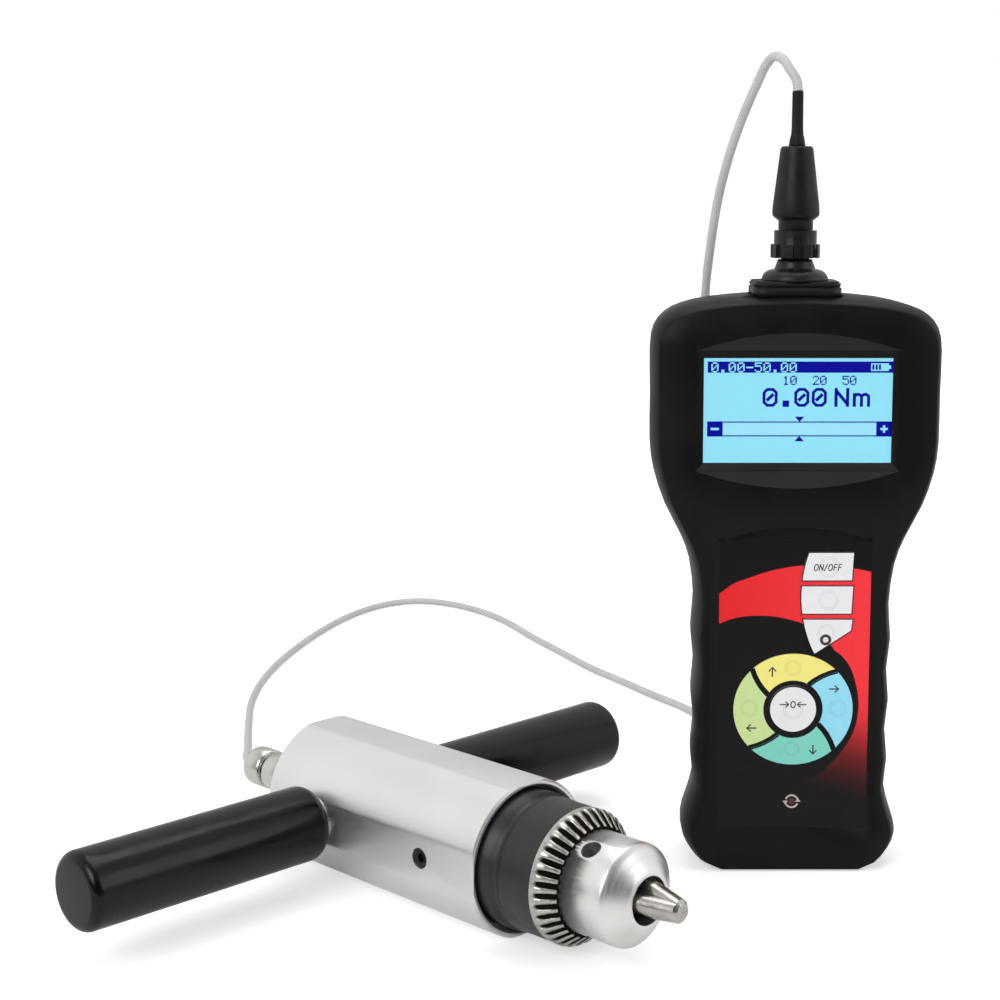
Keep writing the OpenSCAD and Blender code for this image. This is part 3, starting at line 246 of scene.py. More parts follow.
place_camera()
light_world()
lay_floor()
LAMP_AIM = (0.0, 0.0, 0.1)
soft_lamp("left_softbox", (-1.3, -1.8, 1.4), LAMP_AIM, 1.3, 30.0)
soft_lamp("top_softbox", (0.1, 0.4, 2.2), LAMP_AIM, 1.6, 16.0)
soft_lamp("right_softbox", (1.8, -0.8, 1.0), LAMP_AIM, 1.2, 6.0)

# ------------------------ the cable

BOOT_TOP = (93.7, 19.9, 267.86)
# Points of the cable's middle in the shared frame, from the boot to the gland
CABLE_ROUTE = [
    (93.2, 20.4, 271.5), (91.2, 21.9, 275), (89.2, 24.9, 278.5), (86.7, 28.9, 279.8),
    (84.2, 33.4, 277), (81.7, 36.9, 271), (79.2, 40.9, 264.5), (76.2, 44.4, 256), (73, 48, 245),
    (70, 52, 231), (68, 55, 216), (66.5, 58, 199), (66, 60, 175), (66.5, 63, 145), (68, 68, 110),
    (70, 75, 75), (73, 85, 43), (76.5, 98, 18), (79.5, 113, 5), (81.5, 130, 1.8), (82, 150, 1.7),
    (79.5, 174, 1.7), (72, 199, 1.7), (57, 224, 1.7), (44, 247, 1.7), (30, 271, 1.7),
    (16, 301, 1.7), (1, 333, 1.7), (-12, 364, 1.7), (-27, 390, 1.7), (-45, 409, 1.7),
    (-65, 417, 1.7), (-84, 406, 1.7), (-100, 378, 1.7), (-113, 336, 1.7), (-122, 291, 1.7),
    (-126, 255, 1.7), (-126.5, 224, 1.7), (-123.5, 192, 4.6), (-118.5, 157, 8.9),
    (-112, 114, 14), (-108.1, 89.9, 18), (-105.4, 71.9, 21.5), (-103, 56.9, 25.2),
    (-101.4, 45.9, 28)]
CABLE_DIAMETER = 3.2
# The gland's end: along the sensor's axis, beside it and above it
GLAND_TIP = -51.77
GLAND_SIDE = -11.0
GLAND_UP = 5.0


def smooth_line(points, steps):
    """Curve through all points: between two neighbours the cubic whose slope at each point is half
    the step from the point before to the point after."""
    p = np.asarray(points, float)
    before = np.vstack([p[:1], p[:-2]])
    after = np.vstack([p[2:], p[-1:]])
    a, b, c, d = before[:, None], p[:-1, None], p[1:, None], after[:, None]
    t = (np.arange(steps) / steps)[None, :, None]
    curve = b + 0.5 * t * ((c - a) + t * ((2 * a - 5 * b + 4 * c - d) + t * (3 * (b - c) + d - a)))
    return np.vstack([curve.reshape(-1, p.shape[1]), p[-1:]])


def cable_line():
    """Centreline of the cable in metres, from the boot down behind the case and along the floor to
    the gland."""
    ends = sensor_place(np.array([GLAND_TIP - CABLE_DIAMETER, GLAND_TIP]), GLAND_SIDE, GLAND_UP)
    spine = np.vstack([[BOOT_TOP], CABLE_ROUTE, ends / MM])
    line = smooth_line(spine, 6)
    line[:, 2] = np.maximum(line[:, 2], CABLE_DIAMETER / 2 + SEAT_GAP)
    return line * MM


def lay_cable(material):
    """The cable as one open curve with a round section."""
    line = cable_line()
    curve = bpy.data.curves.new("sensor_lead", "CURVE")
    curve.dimensions = "3D"
    curve.bevel_depth = CABLE_DIAMETER / 2 * MM
    curve.bevel_resolution = 6
    curve.use_fill_caps = True
    spline = curve.splines.new("POLY")
    spline.points.add(len(line) - 1)
    spline.points.foreach_set("co", np.hstack([line, np.ones((len(line), 1))]).ravel())
    spline.use_smooth = True
    curve.materials.append(material)
    cable = placed("sensor_lead", curve)
    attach(cable, "meter")
    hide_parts("sensor_cable")
    return cable


# ------------------------ materials

def material_base(name, colour, roughness, metallic=0.0, **values):
    """A material with plain values on its shader's sockets, its node tree and its shader."""
    paint = bpy.data.materials.new(name)
    paint.use_nodes = True
    shader = paint.node_tree.nodes["Principled BSDF"]
    shader.inputs["Base Color"].default_value = (*colour, 1.0)
    shader.inputs["Roughness"].default_value = roughness
    shader.inputs["Metallic"].default_value = metallic
    for socket, value in values.items():
        shader.inputs[socket.replace("_", " ")].default_value = value
    return paint, paint.node_tree, shader


def noise(tree, scale, detail=2.0, stretch=(1.0, 1.0, 1.0), turn=(0.0, 0.0, 0.0)):
    """Noise value on the piece's own coordinates, its cells 1/scale metres across and stretched
    along axes that are turned from the shared ones."""
    place = tree.nodes.new("ShaderNodeTexCoord")
    fit = tree.nodes.new("ShaderNodeMapping")
    fit.vector_type = "TEXTURE"
    fit.inputs["Scale"].default_value = stretch
    fit.inputs["Rotation"].default_value = turn
    grain = tree.nodes.new("ShaderNodeTexNoise")
    grain.inputs["Scale"].default_value = scale
    grain.inputs["Detail"].default_value = detail
    tree.links.new(place.outputs["Object"], fit.inputs["Vector"])
    tree.links.new(fit.outputs["Vector"], grain.inputs["Vector"])
    return grain.outputs["Fac"]


def rough_by(tree, shader, value, low, high):
    """Varies the roughness between low and high by a noise value."""
    tree.links.new(spread(tree, value, low, high), shader.inputs["Roughness"])


def bump_by(tree, shader, value, height, under=None):
    """Raises the surface by height metres where the value is 1; a second bump may lie under it."""
    bump = tree.nodes.new("ShaderNodeBump")
    bump.inputs["Strength"].default_value = 1.0
    bump.inputs["Distance"].default_value = height
    tree.links.new(value, bump.inputs["Height"])
    if under is not None:
        tree.links.new(under, bump.inputs["Normal"])
    tree.links.new(bump.outputs["Normal"], shader.inputs["Normal"])
    return bump.outputs["Normal"]


def colour_by(tree, shader, value, dark, light):
    """Colour that runs from dark to light with a noise value."""
    colour = mixed(tree, spread(tree, value, 0.0, 1.0, 0.3, 0.7), dark, light)
    tree.links.new(colour, shader.inputs["Base Color"])
    return colour


def worn(name, colour, roughness, wear, low, high, grain, height, metallic=0.0, **values):
    """One colour; the roughness runs from low to high with the wear's noise, and a grain height
    metres deep lies on top. Wear and grain give scale, detail and stretch of their noise."""
    paint, tree, shader = material_base(name, colour, roughness, metallic, **values)
    rough_by(tree, shader, noise(tree, *wear), low, high)
    bump_by(tree, shader, noise(tree, *grain), height)
    return paint


def mottled(name, colour, roughness, dark, light, cells, detail=2.0):
    """Colour in small clouds from dark to light."""
    paint, tree, shader = material_base(name, colour, roughness)
    colour_by(tree, shader, noise(tree, cells, detail), dark, light)
    return paint


def thin_ink(name, colour, roughness, low, high, cells, **values):
    """Ink or film of one colour, with a roughness from low to high."""
    paint, tree, shader = material_base(name, colour, roughness, **values)
    rough_by(tree, shader, noise(tree, cells), low, high)
    return paint


def case_plastic():
    """Satin moulded black plastic with a fine spark-eroded grain and faint rub marks."""
    paint, tree, shader = material_base("case_plastic", (0.005, 0.005, 0.0048), 0.42,
                                        Specular_IOR_Level=0.16)
    grain = noise(tree, 2600.0, 3.0)
    rubs = noise(tree, 55.0, 5.0)
    rough_by(tree, shader, rubs, 0.38, 0.5)
    colour_by(tree, shader, rubs, (0.0042, 0.0042, 0.004), (0.006, 0.006, 0.0057))
    bump_by(tree, shader, grain, 0.00002)
    return paint


def scoop_plastic_painted_light(name, shade):
    """The case's plastic in the smoother hollows round the window; its base colour is a grey of the
    given shade, paler than the case, as painted light that stands in for the light these tilted
    hollows catch.
    """
    return worn(name, (shade, shade, shade * 0.95), 0.36, (55.0, 5.0), 0.33, 0.42, (2600.0, 3.0),
                1e-5, Specular_IOR_Level=0.35)


def cable_jacket():
    """Light grey PVC jacket, slightly glossy, with faint handling marks."""
    paint, tree, shader = material_base("cable_jacket", (0.55, 0.55, 0.54), 0.42)
    marks = noise(tree, 90.0, 5.0)
    colour_by(tree, shader, marks, (0.52, 0.52, 0.51), (0.59, 0.59, 0.58))
    rough_by(tree, shader, marks, 0.36, 0.5)
    bump_by(tree, shader, noise(tree, 700.0, 3.0), 0.00002)
    return paint


def satin_aluminium():
    """Satin anodised aluminium: fine even grain, lines drawn along the bar, soft sheen."""
    paint, tree, shader = material_base("satin_aluminium", (0.76, 0.76, 0.755), 0.42, 1.0)
    clouds = noise(tree, 28.0, 4.0)
    colour_by(tree, shader, clouds, (0.74, 0.74, 0.735), (0.79, 0.79, 0.785))
    drawn = noise(tree, 2600.0, 3.0, (30.0, 1.0, 1.0), SENSOR_TURN)
    rough_by(tree, shader, drawn, 0.38, 0.47)
    first = bump_by(tree, shader, drawn, 0.000002)
    bump_by(tree, shader, noise(tree, 5200.0, 2.0), 0.000004, first)
    return paint


def dipped_vinyl():
    """Glossy black dipped vinyl: a deep gloss with the slow waves and small dimples of the dip."""
    paint, tree, shader = material_base("dipped_vinyl", (0.0025, 0.0025, 0.0027), 0.2,
                                        Specular_IOR_Level=0.26)
    rough_by(tree, shader, noise(tree, 110.0, 4.0), 0.16, 0.28)
    waves = bump_by(tree, shader, noise(tree, 60.0, 1.0), 0.00025)
    bump_by(tree, shader, noise(tree, 900.0, 2.0), 0.000012, waves)
    return paint


def turned_steel():
    """Bright turned steel: the marks of the tool run round the axis."""
    paint, tree, shader = material_base("turned_steel", (0.78, 0.78, 0.765), 0.34, 1.0)
    rings = noise(tree, 3000.0, 2.0, (1.0, 60.0, 60.0), SENSOR_TURN)
    rough_by(tree, shader, rings, 0.32, 0.4)
    colour_by(tree, shader, noise(tree, 60.0, 4.0), (0.74, 0.735, 0.715), (0.82, 0.815, 0.795))
    bump_by(tree, shader, rings, 0.0000012)
    return paint


def ring_steel():
    """Bright steel of the toothed ring; the gaps between the teeth and the undercut next to the
    nose are painted near black by their stored depth, as painted shade.
    """
    paint, tree, shader = material_base("ring_steel", (0.5, 0.49, 0.46), 0.3, 1.0)
    depth = tree.nodes.new("ShaderNodeAttribute")
    depth.attribute_name = "groove_depth"
    sunk = spread(tree, depth.outputs["Fac"], 0.0, 1.0, 0.02, 0.28)
    bright = colour_by(tree, shader, noise(tree, 420.0, 4.0), (0.42, 0.41, 0.38),
                       (0.58, 0.57, 0.54))
    # Painted shade: the deeper a point lies below the teeth's cone, the nearer to black its colour
    groove_painted_shade = mixed(tree, sunk, bright, (0.016, 0.014, 0.01))
    tree.links.new(groove_painted_shade, shader.inputs["Base Color"])
    tree.links.new(spread(tree, sunk, 0.34, 0.7, 0.0, 1.0), shader.inputs["Roughness"])
    bump_by(tree, shader, noise(tree, 2400.0, 3.0), 0.000005)
    return paint


def jaw_steel():
    """Ground hardened steel of the jaws, a little darker and warmer."""
    paint, tree, shader = material_base("jaw_steel", (0.46, 0.44, 0.41), 0.26, 1.0)
    rough_by(tree, shader, noise(tree, 1500.0, 3.0, (12.0, 1.0, 1.0), SENSOR_TURN), 0.2, 0.34)
    colour_by(tree, shader, noise(tree, 160.0, 4.0), (0.4, 0.38, 0.35), (0.54, 0.52, 0.49))
    return paint


def sleeve_coating():
    """Satin black coating of the chuck's sleeve, with fine turning marks under it."""
    paint, tree, shader = material_base("sleeve_coating", (0.022, 0.022, 0.025), 0.4, 0.25,
                                        Specular_IOR_Level=0.5)
    rings = noise(tree, 2200.0, 2.0, (1.0, 60.0, 60.0), SENSOR_TURN)
    rough_by(tree, shader, noise(tree, 140.0, 4.0), 0.34, 0.48)
    bump_by(tree, shader, rings, 0.000003)
    return paint


def plain_steel(name, colour, low, high):
    """Machined or plated metal of a hidden or small piece; the roughness runs from low to high."""
    return worn(name, colour, (low + high) / 2, (800.0, 4.0), low, high, (2500.0, 2.0), 1e-5, 1.0)


def window_clear():
    """Clear window over the display, with the faintest haze."""
    paint, tree, shader = material_base("window_clear", (0.96, 0.98, 0.98), 0.02,
                                        Transmission_Weight=1.0, IOR=1.45)
    rough_by(tree, shader, noise(tree, 200.0, 3.0), 0.01, 0.035)
    return paint


def display_light():
    """Back-lit display: light blue, with the fine grid between its dots."""
    paint, tree, shader = material_base("display_light", (0.05, 0.13, 0.16), 0.5,
                                        Emission_Strength=0.97, Specular_IOR_Level=0.0)
    axes = axes_of(tree)
    lines = []
    for axis in ("X", "Z"):
        step = tree.nodes.new("ShaderNodeMath")
        step.operation = "PINGPONG"
        step.inputs[1].default_value = DOT / 2 * MM
        tree.links.new(axes[axis], step.inputs[0])
        lines.append(spread(tree, step.outputs[0], 0.9, 1.0, 0.0, DOT / 10 * MM))
    light = mixed(tree, joined(tree, "MULTIPLY", *lines), (0.0, 0.0, 0.0), (0.307, 0.78, 0.96))
    tree.links.new(light, shader.inputs["Emission Color"])
    return paint


def key_print(name, colour, shade):
    """Printed film of one key: even colour with faint mottling, satin, with a very fine grain."""
    paint, tree, shader = material_base(name, colour, 0.45, Specular_IOR_Level=0.4)
    darker = tuple(shade * c for c in colour)
    colour_by(tree, shader, noise(tree, 260.0, 3.0), darker, colour)
    rough_by(tree, shader, noise(tree, 600.0), 0.4, 0.52)
    bump_by(tree, shader, noise(tree, 4200.0, 2.0), 0.000008)
    return paint


def curve_of(tree, value, pairs, low, high, out_low, out_high):
    """Value of a curve through the given pairs at a coordinate in metres; the pairs are in
    millimetres."""
    inward = spread(tree, value, 0.0, 1.0, low * MM, high * MM)
    curve = tree.nodes.new("ShaderNodeFloatCurve")
    line = curve.mapping.curves[0]
    scaled = [((a - low) / (high - low), (b - out_low) / (out_high - out_low)) for a, b in pairs]
    while len(line.points) < len(scaled):
        line.points.new(0.5, 0.5)
    for point, (a, b) in zip(line.points, scaled):
        point.location = (a, b)
        point.handle_type = "AUTO"
    curve.mapping.update()
    tree.links.new(inward, curve.inputs["Value"])
    return spread(tree, curve.outputs["Value"], out_low * MM, out_high * MM, 0.0, 1.0)


def beyond(tree, value, edge, blur=0.12 * MM):
    """1 where the value is beyond the edge and 0 short of it, with a soft step."""
    return spread(tree, joined(tree, "SUBTRACT", value, edge), 0.0, 1.0, -blur, blur)


FILM_BLACK = (0.005, 0.005, 0.005)
KEYPAD_HALF_W = 27

# Red band of the keypad, in millimetres to the right of the case's middle and above its base. Top
# and foot give heights, each after its place to the right; inside gives places to the right, each
# after its height; fade gives the strength of the red after the height.
BAND_TOP = [(-27, 98.2), (-25.5, 98.9), (-20.7, 102.2), (-15.6, 104.1), (-10.5, 105.9),
            (-5.4, 107.2), (2.2, 108.3), (12, 108.2), (20.6, 107.2), (27, 105.9)]
BAND_FOOT = [(-27, 87.8), (-25.5, 88.2), (-22, 89.6), (-18, 90.5), (-11.3, 90.9), (-6.2, 90.5),
             (-1.6, 89.5), (2.6, 88.2), (8, 84.9), (13.8, 79.2), (15, 78), (27, 78)]
BAND_INSIDE = [(20, -4), (32.4, 5.7), (36.2, 10.8), (41, 15.3), (45.8, 18.9), (51.2, 21.3),
               (56, 22.3), (61.3, 22.4), (66.6, 21.5), (72.9, 19.3), (77.1, 16.1), (79.5, 13.4),
               (90, 13)]
BAND_FADE = [(20, 0.0), (27, 0.01), (36, 0.1), (44, 0.33), (50, 0.62), (57, 0.9), (66, 1.0),
             (118, 1.0)]


def keypad_film():
    """Printed film of the keypad: black, with a red band that arches behind the keys, runs down
    beside the wheel and fades out; satin with a fine grain."""
    paint, tree, shader = material_base("keypad_film", FILM_BLACK, 0.42, Specular_IOR_Level=0.2)
    axes = axes_of(tree)
    shift = tree.nodes.new("ShaderNodeMath")
    shift.operation = "SUBTRACT"
    shift.inputs[1].default_value = INDICATOR_X * MM
    tree.links.new(axes["X"], shift.inputs[0])
    x, z = shift.outputs[0], axes["Z"]
    side = KEYPAD_HALF_W
    top = beyond(tree, curve_of(tree, x, BAND_TOP, -side, side, 70, 120), z)
    foot = beyond(tree, z, curve_of(tree, x, BAND_FOOT, -side, side, 70, 120))
    inside = beyond(tree, x, curve_of(tree, z, BAND_INSIDE, 20, 90, -30, 30))
    lower_left = spread(tree, x, -0.6 * side * MM, 0.0, -side * MM, side * MM)
    fade = curve_of(tree, joined(tree, "ADD", z, lower_left), BAND_FADE, 20, 118, 0, 1)
    shown = joined(tree, "MULTIPLY", joined(tree, "MAXIMUM", foot, inside), top)
    shown = joined(tree, "MULTIPLY", shown, spread(tree, fade, 0.0, 1.0, 0.0, 1.0 * MM))
    rightwards = spread(tree, x, 0.0, 1.0, -26 * MM, 20 * MM)
    red = mixed(tree, rightwards, (0.84, 0.018, 0.024), (1.0, 0.04, 0.055))
    tree.links.new(mixed(tree, shown, FILM_BLACK, red), shader.inputs["Base Color"])
    rough_by(tree, shader, noise(tree, 300.0, 3.0), 0.38, 0.5)
    bump_by(tree, shader, noise(tree, 4200.0, 2.0), 0.000008)
    return paint


def board_green():
    """Green solder mask of the circuit boards."""
    paint, tree, shader = material_base("board_green", (0.01, 0.1, 0.035), 0.3)
    colour_by(tree, shader, noise(tree, 500.0, 4.0), (0.008, 0.085, 0.03), (0.014, 0.13, 0.045))
    rough_by(tree, shader, noise(tree, 900.0), 0.22, 0.42)
    return paint


paint = {
    "case_black": case_plastic(),
    # The battery door's plastic, a shade rougher than the case
    "door_black": worn("door_plastic", (0.007, 0.007, 0.007), 0.5, (70.0, 4.0), 0.46, 0.58,
                       (2300.0, 3.0), 3e-5, Specular_IOR_Level=0.32),
    # Black oxide of the small screws
    "screw_dark": worn("screw_black", (0.02, 0.02, 0.02), 0.4, (900.0, 4.0), 0.3, 0.5,
                       (2500.0, 2.0), 1e-5, 0.6),
    "screw_bright": plain_steel("zinc_steel", (0.6, 0.6, 0.6), 0.25, 0.4),
    "lens_clear": window_clear(),
    "lcd": display_light(),
    "keypad": keypad_film(),
    "key_white": key_print("key_white_film", (0.9, 0.9, 0.92), 0.97),
    "key_yellow": key_print("key_yellow_film", (1.0, 0.91, 0.25), 0.98),
    "key_blue": key_print("key_blue_film", (0.33, 0.8, 1.0), 0.97),
    "key_teal": key_print("key_teal_film", (0.23, 0.72, 0.6), 0.97),
    "key_green": key_print("key_green_film", (0.67, 0.84, 0.36), 0.97),
    "board": board_green(),
    "dome": plain_steel("dome_steel", (0.65, 0.65, 0.66), 0.2, 0.34),
    # Shrink film round the battery cells
    "cell": mottled("cell_wrap", (0.03, 0.1, 0.3), 0.3, (0.025, 0.09, 0.27), (0.04, 0.12, 0.34),
                    80.0, 4.0),
    "contact": plain_steel("contact_nickel", (0.7, 0.7, 0.7), 0.24, 0.38),
    # Black anodised metal of the socket and the bayonet ring
    "connector": worn("socket_black", (0.014, 0.014, 0.015), 0.36, (300.0, 4.0, (4.0, 4.0, 1.0)),
                      0.3, 0.44, (1800.0, 2.0, (8.0, 8.0, 1.0)), 1e-5, 0.35,
                      Specular_IOR_Level=0.4),
    # Smooth moulded black plastic of the collar and the plug
    "collar": worn("plug_plastic", (0.006, 0.006, 0.0062), 0.46, (160.0, 4.0), 0.4, 0.54,
                   (1800.0, 2.0), 1.5e-5, Specular_IOR_Level=0.28),
    # Soft black rubber of the boot and the seals
    "boot_black": worn("soft_black", (0.007, 0.007, 0.007), 0.62, (240.0, 4.0), 0.55, 0.72,
                       (1500.0, 3.0), 2e-5, Specular_IOR_Level=0.3),
    "pins": plain_steel("gold_contacts", (0.75, 0.56, 0.2), 0.2, 0.36),
    "cable_grey": cable_jacket(),
    "housing_alu": satin_aluminium(),
    "steel_ground": plain_steel("ground_steel", (0.5, 0.51, 0.52), 0.22, 0.36),
    # Amber film of the strain gauges
    "gauge": mottled("gauge_film", (0.5, 0.25, 0.06), 0.35, (0.42, 0.2, 0.05), (0.6, 0.32, 0.1),
                     700.0, 3.0),
    # Nickel plated brass of the cable gland, with soft tool marks
    "gland_nickel": worn("gland_nickel", (0.58, 0.57, 0.53), 0.22, (420.0, 4.0), 0.14, 0.3,
                         (1500.0, 2.0), 3e-6, 1.0),
    "bar_steel": plain_steel("bar_plating", (0.6, 0.61, 0.62), 0.2, 0.34),
    "grip_vinyl": dipped_vinyl(),
    "chuck_steel": turned_steel(),
    "sleeve_black": sleeve_coating(),
    "gear_steel": ring_steel(),
    "jaw_steel": jaw_steel(),
}
paint["grub"] = paint["screw_dark"]
paint["plug_black"] = paint["collar"]
paint["seal"] = paint["boot_black"]

# Inks of the symbols on the keys and of the ring mark at the keypad's foot
ink_dark = mottled("symbol_ink", (0.04, 0.04, 0.036), 0.5, (0.03, 0.03, 0.028),
                   (0.05, 0.05, 0.047), 900.0)
ink_pale = mottled("pale_ink", (0.5, 0.47, 0.46), 0.5, (0.42, 0.39, 0.38), (0.6, 0.56, 0.55), 900.0)
ink_red = mottled("dark_red_ink", (0.09, 0.01, 0.02), 0.5, (0.06, 0.008, 0.014),
                  (0.13, 0.016, 0.03), 900.0)
# Black borders round the keys, and the faint painted shadow of a snap dome under a key's film
border_black = thin_ink("border_ink", (0.006, 0.006, 0.006), 0.45, 0.4, 0.52, 600.0,
                        Specular_IOR_Level=0.2)
dome_shade = thin_ink("dome_ring_painted_shadow", (0.18, 0.18, 0.18), 0.5, 0.4, 0.6, 500.0, Alpha=0.14)
# Dark blue dots of the display, lit faintly from behind, and the even light of its empty bar
blue_dots = thin_ink("display_ink", (0.0, 0.0, 0.12), 0.5, 0.45, 0.6, 900.0, Emission_Strength=1.0,
                     Specular_IOR_Level=0.0, Emission_Color=(0.0, 0.0, 0.26, 1.0))
pale_bar = thin_ink("bar_light", (0.1, 0.14, 0.16), 0.5, 0.45, 0.6, 900.0, Emission_Strength=1.0,
                    Specular_IOR_Level=0.0, Emission_Color=(0.31, 0.745, 0.93, 1.0))

# ------------------------ making pieces

def grid_faces(rows, columns, closed=False):
    """Quads of a grid whose points follow each other row by row; in a closed one the last column
    meets the first."""
    row, column = np.meshgrid(np.arange(rows - 1), np.arange(columns if closed else columns - 1),
                              indexing="ij")
    here, there, step = row * columns, (row + 1) * columns, (column + 1) % columns
    quads = np.stack([here + column, here + step, there + step, there + column], -1)
    return quads.reshape(-1, 4).tolist()


def put_mesh(name, points, faces, material, body, crease=30.0, outwards=False):
    """Piece from points in metres and faces."""
    mesh = bpy.data.meshes.new(name)
    mesh.from_pydata(points.reshape(-1, 3).tolist(), [], faces)
    return finish_piece(name, mesh, material, body, crease, outwards=outwards)


def finish_piece(name, mesh, material, body, crease, rounding=0.0, outwards=False):
    """Joins doubles, so that seams and poles close, turns the faces outwards if asked to, sets the
    shading and puts the piece on its body. Edges sharper than crease degrees stay sharp unless a
    rounding in millimetres softens them."""
    work = bmesh.new()
    work.from_mesh(mesh)
    bmesh.ops.remove_doubles(work, verts=work.verts, dist=JOIN_DISTANCE * MM)
    if outwards:
        bmesh.ops.recalc_face_normals(work, faces=work.faces)
    if rounding:
        bmesh.ops.dissolve_limit(work, angle_limit=math.radians(0.6), verts=work.verts,
                                 edges=work.edges)
    work.to_mesh(mesh)
    work.free()
    mesh.materials.clear()
    mesh.materials.append(material)
    mesh.shade_smooth()
    mesh.set_sharp_from_angle(angle=math.radians(crease))
    piece = placed(name, mesh)
    if rounding:
        edge = piece.modifiers.new("soft_edges", "BEVEL")
        edge.width = rounding * MM
        edge.segments = 2
        edge.limit_method = "ANGLE"
        edge.angle_limit = math.radians(crease)
        edge.harden_normals = True
    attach(piece, body)
    return piece


body_of_node = {node: body for body, members in frame["record"]["behaviour"]["bodies"].items()
                for node in members}


def finished_copy(node, crease=30.0, rounding=0.0):
    """A joined, smooth copy of a solid that stands for it."""
    mesh = nodes[node].data.copy()
    mesh.name = node + "_skin"
    slot = slot_of_node[node]
    piece = finish_piece(mesh.name, mesh, paint[slot], body_of_node[node], crease, rounding)
    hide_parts(node)
    return piece


def turned_piece(name, profile, place, node, sides):
    """Surface of revolution: each profile point, a place along the axis and a radius, goes round
    the axis in equal steps. place(along, across, up) puts a point into the shared frame."""
    line = np.asarray(profile, float)
    turn = np.arange(sides) * 2 * math.pi / sides
    along = np.repeat(line[:, :1], sides, 1)
    points = place(along, line[:, 1:] * np.cos(turn), line[:, 1:] * np.sin(turn))
    slot = slot_of_node[node]
    piece = put_mesh(name, points, grid_faces(len(line), sides, True), paint[slot],
                     body_of_node[node], outwards=True)
    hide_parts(node)
    return piece


def arc(centre_along, centre_radius, radius, start, end, count):
    """Points on a circular arc of the profile, the angle counted from the outward direction towards
    the axis' end."""
    turn = np.radians(np.linspace(start, end, count))
    return np.stack([centre_along + radius * np.sin(turn),
                     centre_radius + radius * np.cos(turn)], -1)


# ------------------------ sensor pieces

# The handle in millimetres from the sensor's axis, and how far it sits off the housing's middle
HANDLE_SHIFT = -0.9
HANDLE_HALF = 116.7
BAR_HALF = 114.1
GRIP_FOOT = 25.7
GRIP_RADIUS = 12.7
GRIP_HOLE = 8.02
GRIP_FOOT_ROUND = GRIP_RADIUS * 0.36
GRIP_TIP_ROUND = GRIP_RADIUS * 0.26


def grip(side, node):
    """Dipped grip: rounded at the housing's end, a straight body and a rounded closed tip."""
    foot, tip = GRIP_FOOT + GRIP_FOOT_ROUND, HANDLE_HALF - GRIP_TIP_ROUND
    hole_end = BAR_HALF + SEAT_GAP
    body = np.linspace(foot, tip, 24)[1:-1]
    profile = np.vstack([
        [[GRIP_FOOT, GRIP_HOLE]],
        arc(foot, GRIP_RADIUS - GRIP_FOOT_ROUND, GRIP_FOOT_ROUND, -90, 0, 12),
        np.stack([body, np.full_like(body, GRIP_RADIUS)], -1),
        arc(tip, GRIP_RADIUS - GRIP_TIP_ROUND, GRIP_TIP_ROUND, 0, 90, 12),
        [[HANDLE_HALF, 0], [hole_end, 0], [hole_end, GRIP_HOLE], [GRIP_FOOT, GRIP_HOLE]]])

    def place(along, across, up):
        return sensor_place(across, side * along + HANDLE_SHIFT, up)
    return turned_piece(node + "_vinyl", profile, place, node, 128)


grip(-1, "left_grip")
grip(1, "right_grip")

# Smooth copies of solids: node, crease in degrees, rounding of the edges in millimetres
SENSOR_COPIES = (
    ("sensor_housing", 30, 0.3), ("rear_cap", 30, 0.2), ("grub_screws", 30, 0.1),
    ("handle_bar", 30, 0), ("gland_body", 30, 0), ("gland_nut", 30, 0), ("gland_seal", 30, 0),
    ("chuck_body", 30, 0), ("chuck_sleeve", 24, 0))
for node, crease, rounding in SENSOR_COPIES:
    finished_copy(node, crease, rounding)

# Shares of the toothed ring's outer radius: the flat rim behind the teeth, and the step from the
# nose up to the teeth
LAND_SHARE = 1 / 9
FOOT_SHARE = 1 / 18
NOSE_RADIUS = 16.2


def mark_grooves(piece):
    """Stores on each point how far it lies below the cone of the teeth, which sets the painted
    shade in the gaps and next to the nose: the cone runs straight from the rim's front edge to the
    front end, a little outside the nose."""
    mesh = piece.data
    flat = np.empty(len(mesh.vertices) * 3)
    mesh.vertices.foreach_get("co", flat)
    x, y, z = (flat.reshape(-1, 3) / MM - [SENSOR_X, SENSOR_Y, AXIS_HEIGHT]).T
    along = x * math.cos(SENSOR_YAW) - y * math.sin(SENSOR_YAW)
    beside = x * math.sin(SENSOR_YAW) + y * math.cos(SENSOR_YAW)
    radius = np.hypot(beside, z)
    rim = radius.max()
    start, end = along.min() + rim * LAND_SHARE, along.max()
    inner = NOSE_RADIUS + rim * FOOT_SHARE
    cone = rim + (inner - rim) * (along - start) / (end - start)
    depth = np.minimum(rim, cone) - radius
    stored = mesh.attributes.new("groove_depth", "FLOAT", "POINT")
    stored.data.foreach_set("value", depth.astype(np.float32))


mark_grooves(finished_copy("toothed_ring", 30.0))
for jaw_number in (1, 2, 3):
    finished_copy(f"jaw_{jaw_number}", 30.0, 0.12)

# ------------------------ indicator pieces

EDGE_ROUNDING = 0.05
KEYS = ("power_key", "unit_key", "light_key", "up_key", "right_key", "down_key", "left_key",
        "enter_key")
INDICATOR_COPIES = (
    ("front_cover", 30, 0), ("rear_cover", 30, 0), ("battery_door", 30, 0.2),
    ("case_screws", 30, 0), ("door_screw", 30, 0), ("socket_collar", 55, 0),
    ("socket_shell", 30, 0), ("bayonet_ring", 30, 0.25), ("plug_body", 30, 0),
    ("cable_boot", 40, 0), ("keypad_sheet", 30, 0), ("display_lens", 30, 0), ("lcd_module", 30, 0))
skins = {node: finished_copy(node, crease, rounding) for node, crease, rounding in INDICATOR_COPIES}
for key in KEYS:
    finished_copy(key, 30, EDGE_ROUNDING)

for node, slot in slot_of_node.items():
    mesh = nodes[node].data
    mesh.materials.clear()
    mesh.materials.append(paint[slot])

# ------------------------ printed marks

# Depths behind the case's face; ink lies one lift before its surface
KEY_FACE = -0.2
FILM_FACE = 0.05
DISPLAY_FACE = 3.42
INK_LIFT = 0.012
KEY_CAP = KEY_FACE - INK_LIFT


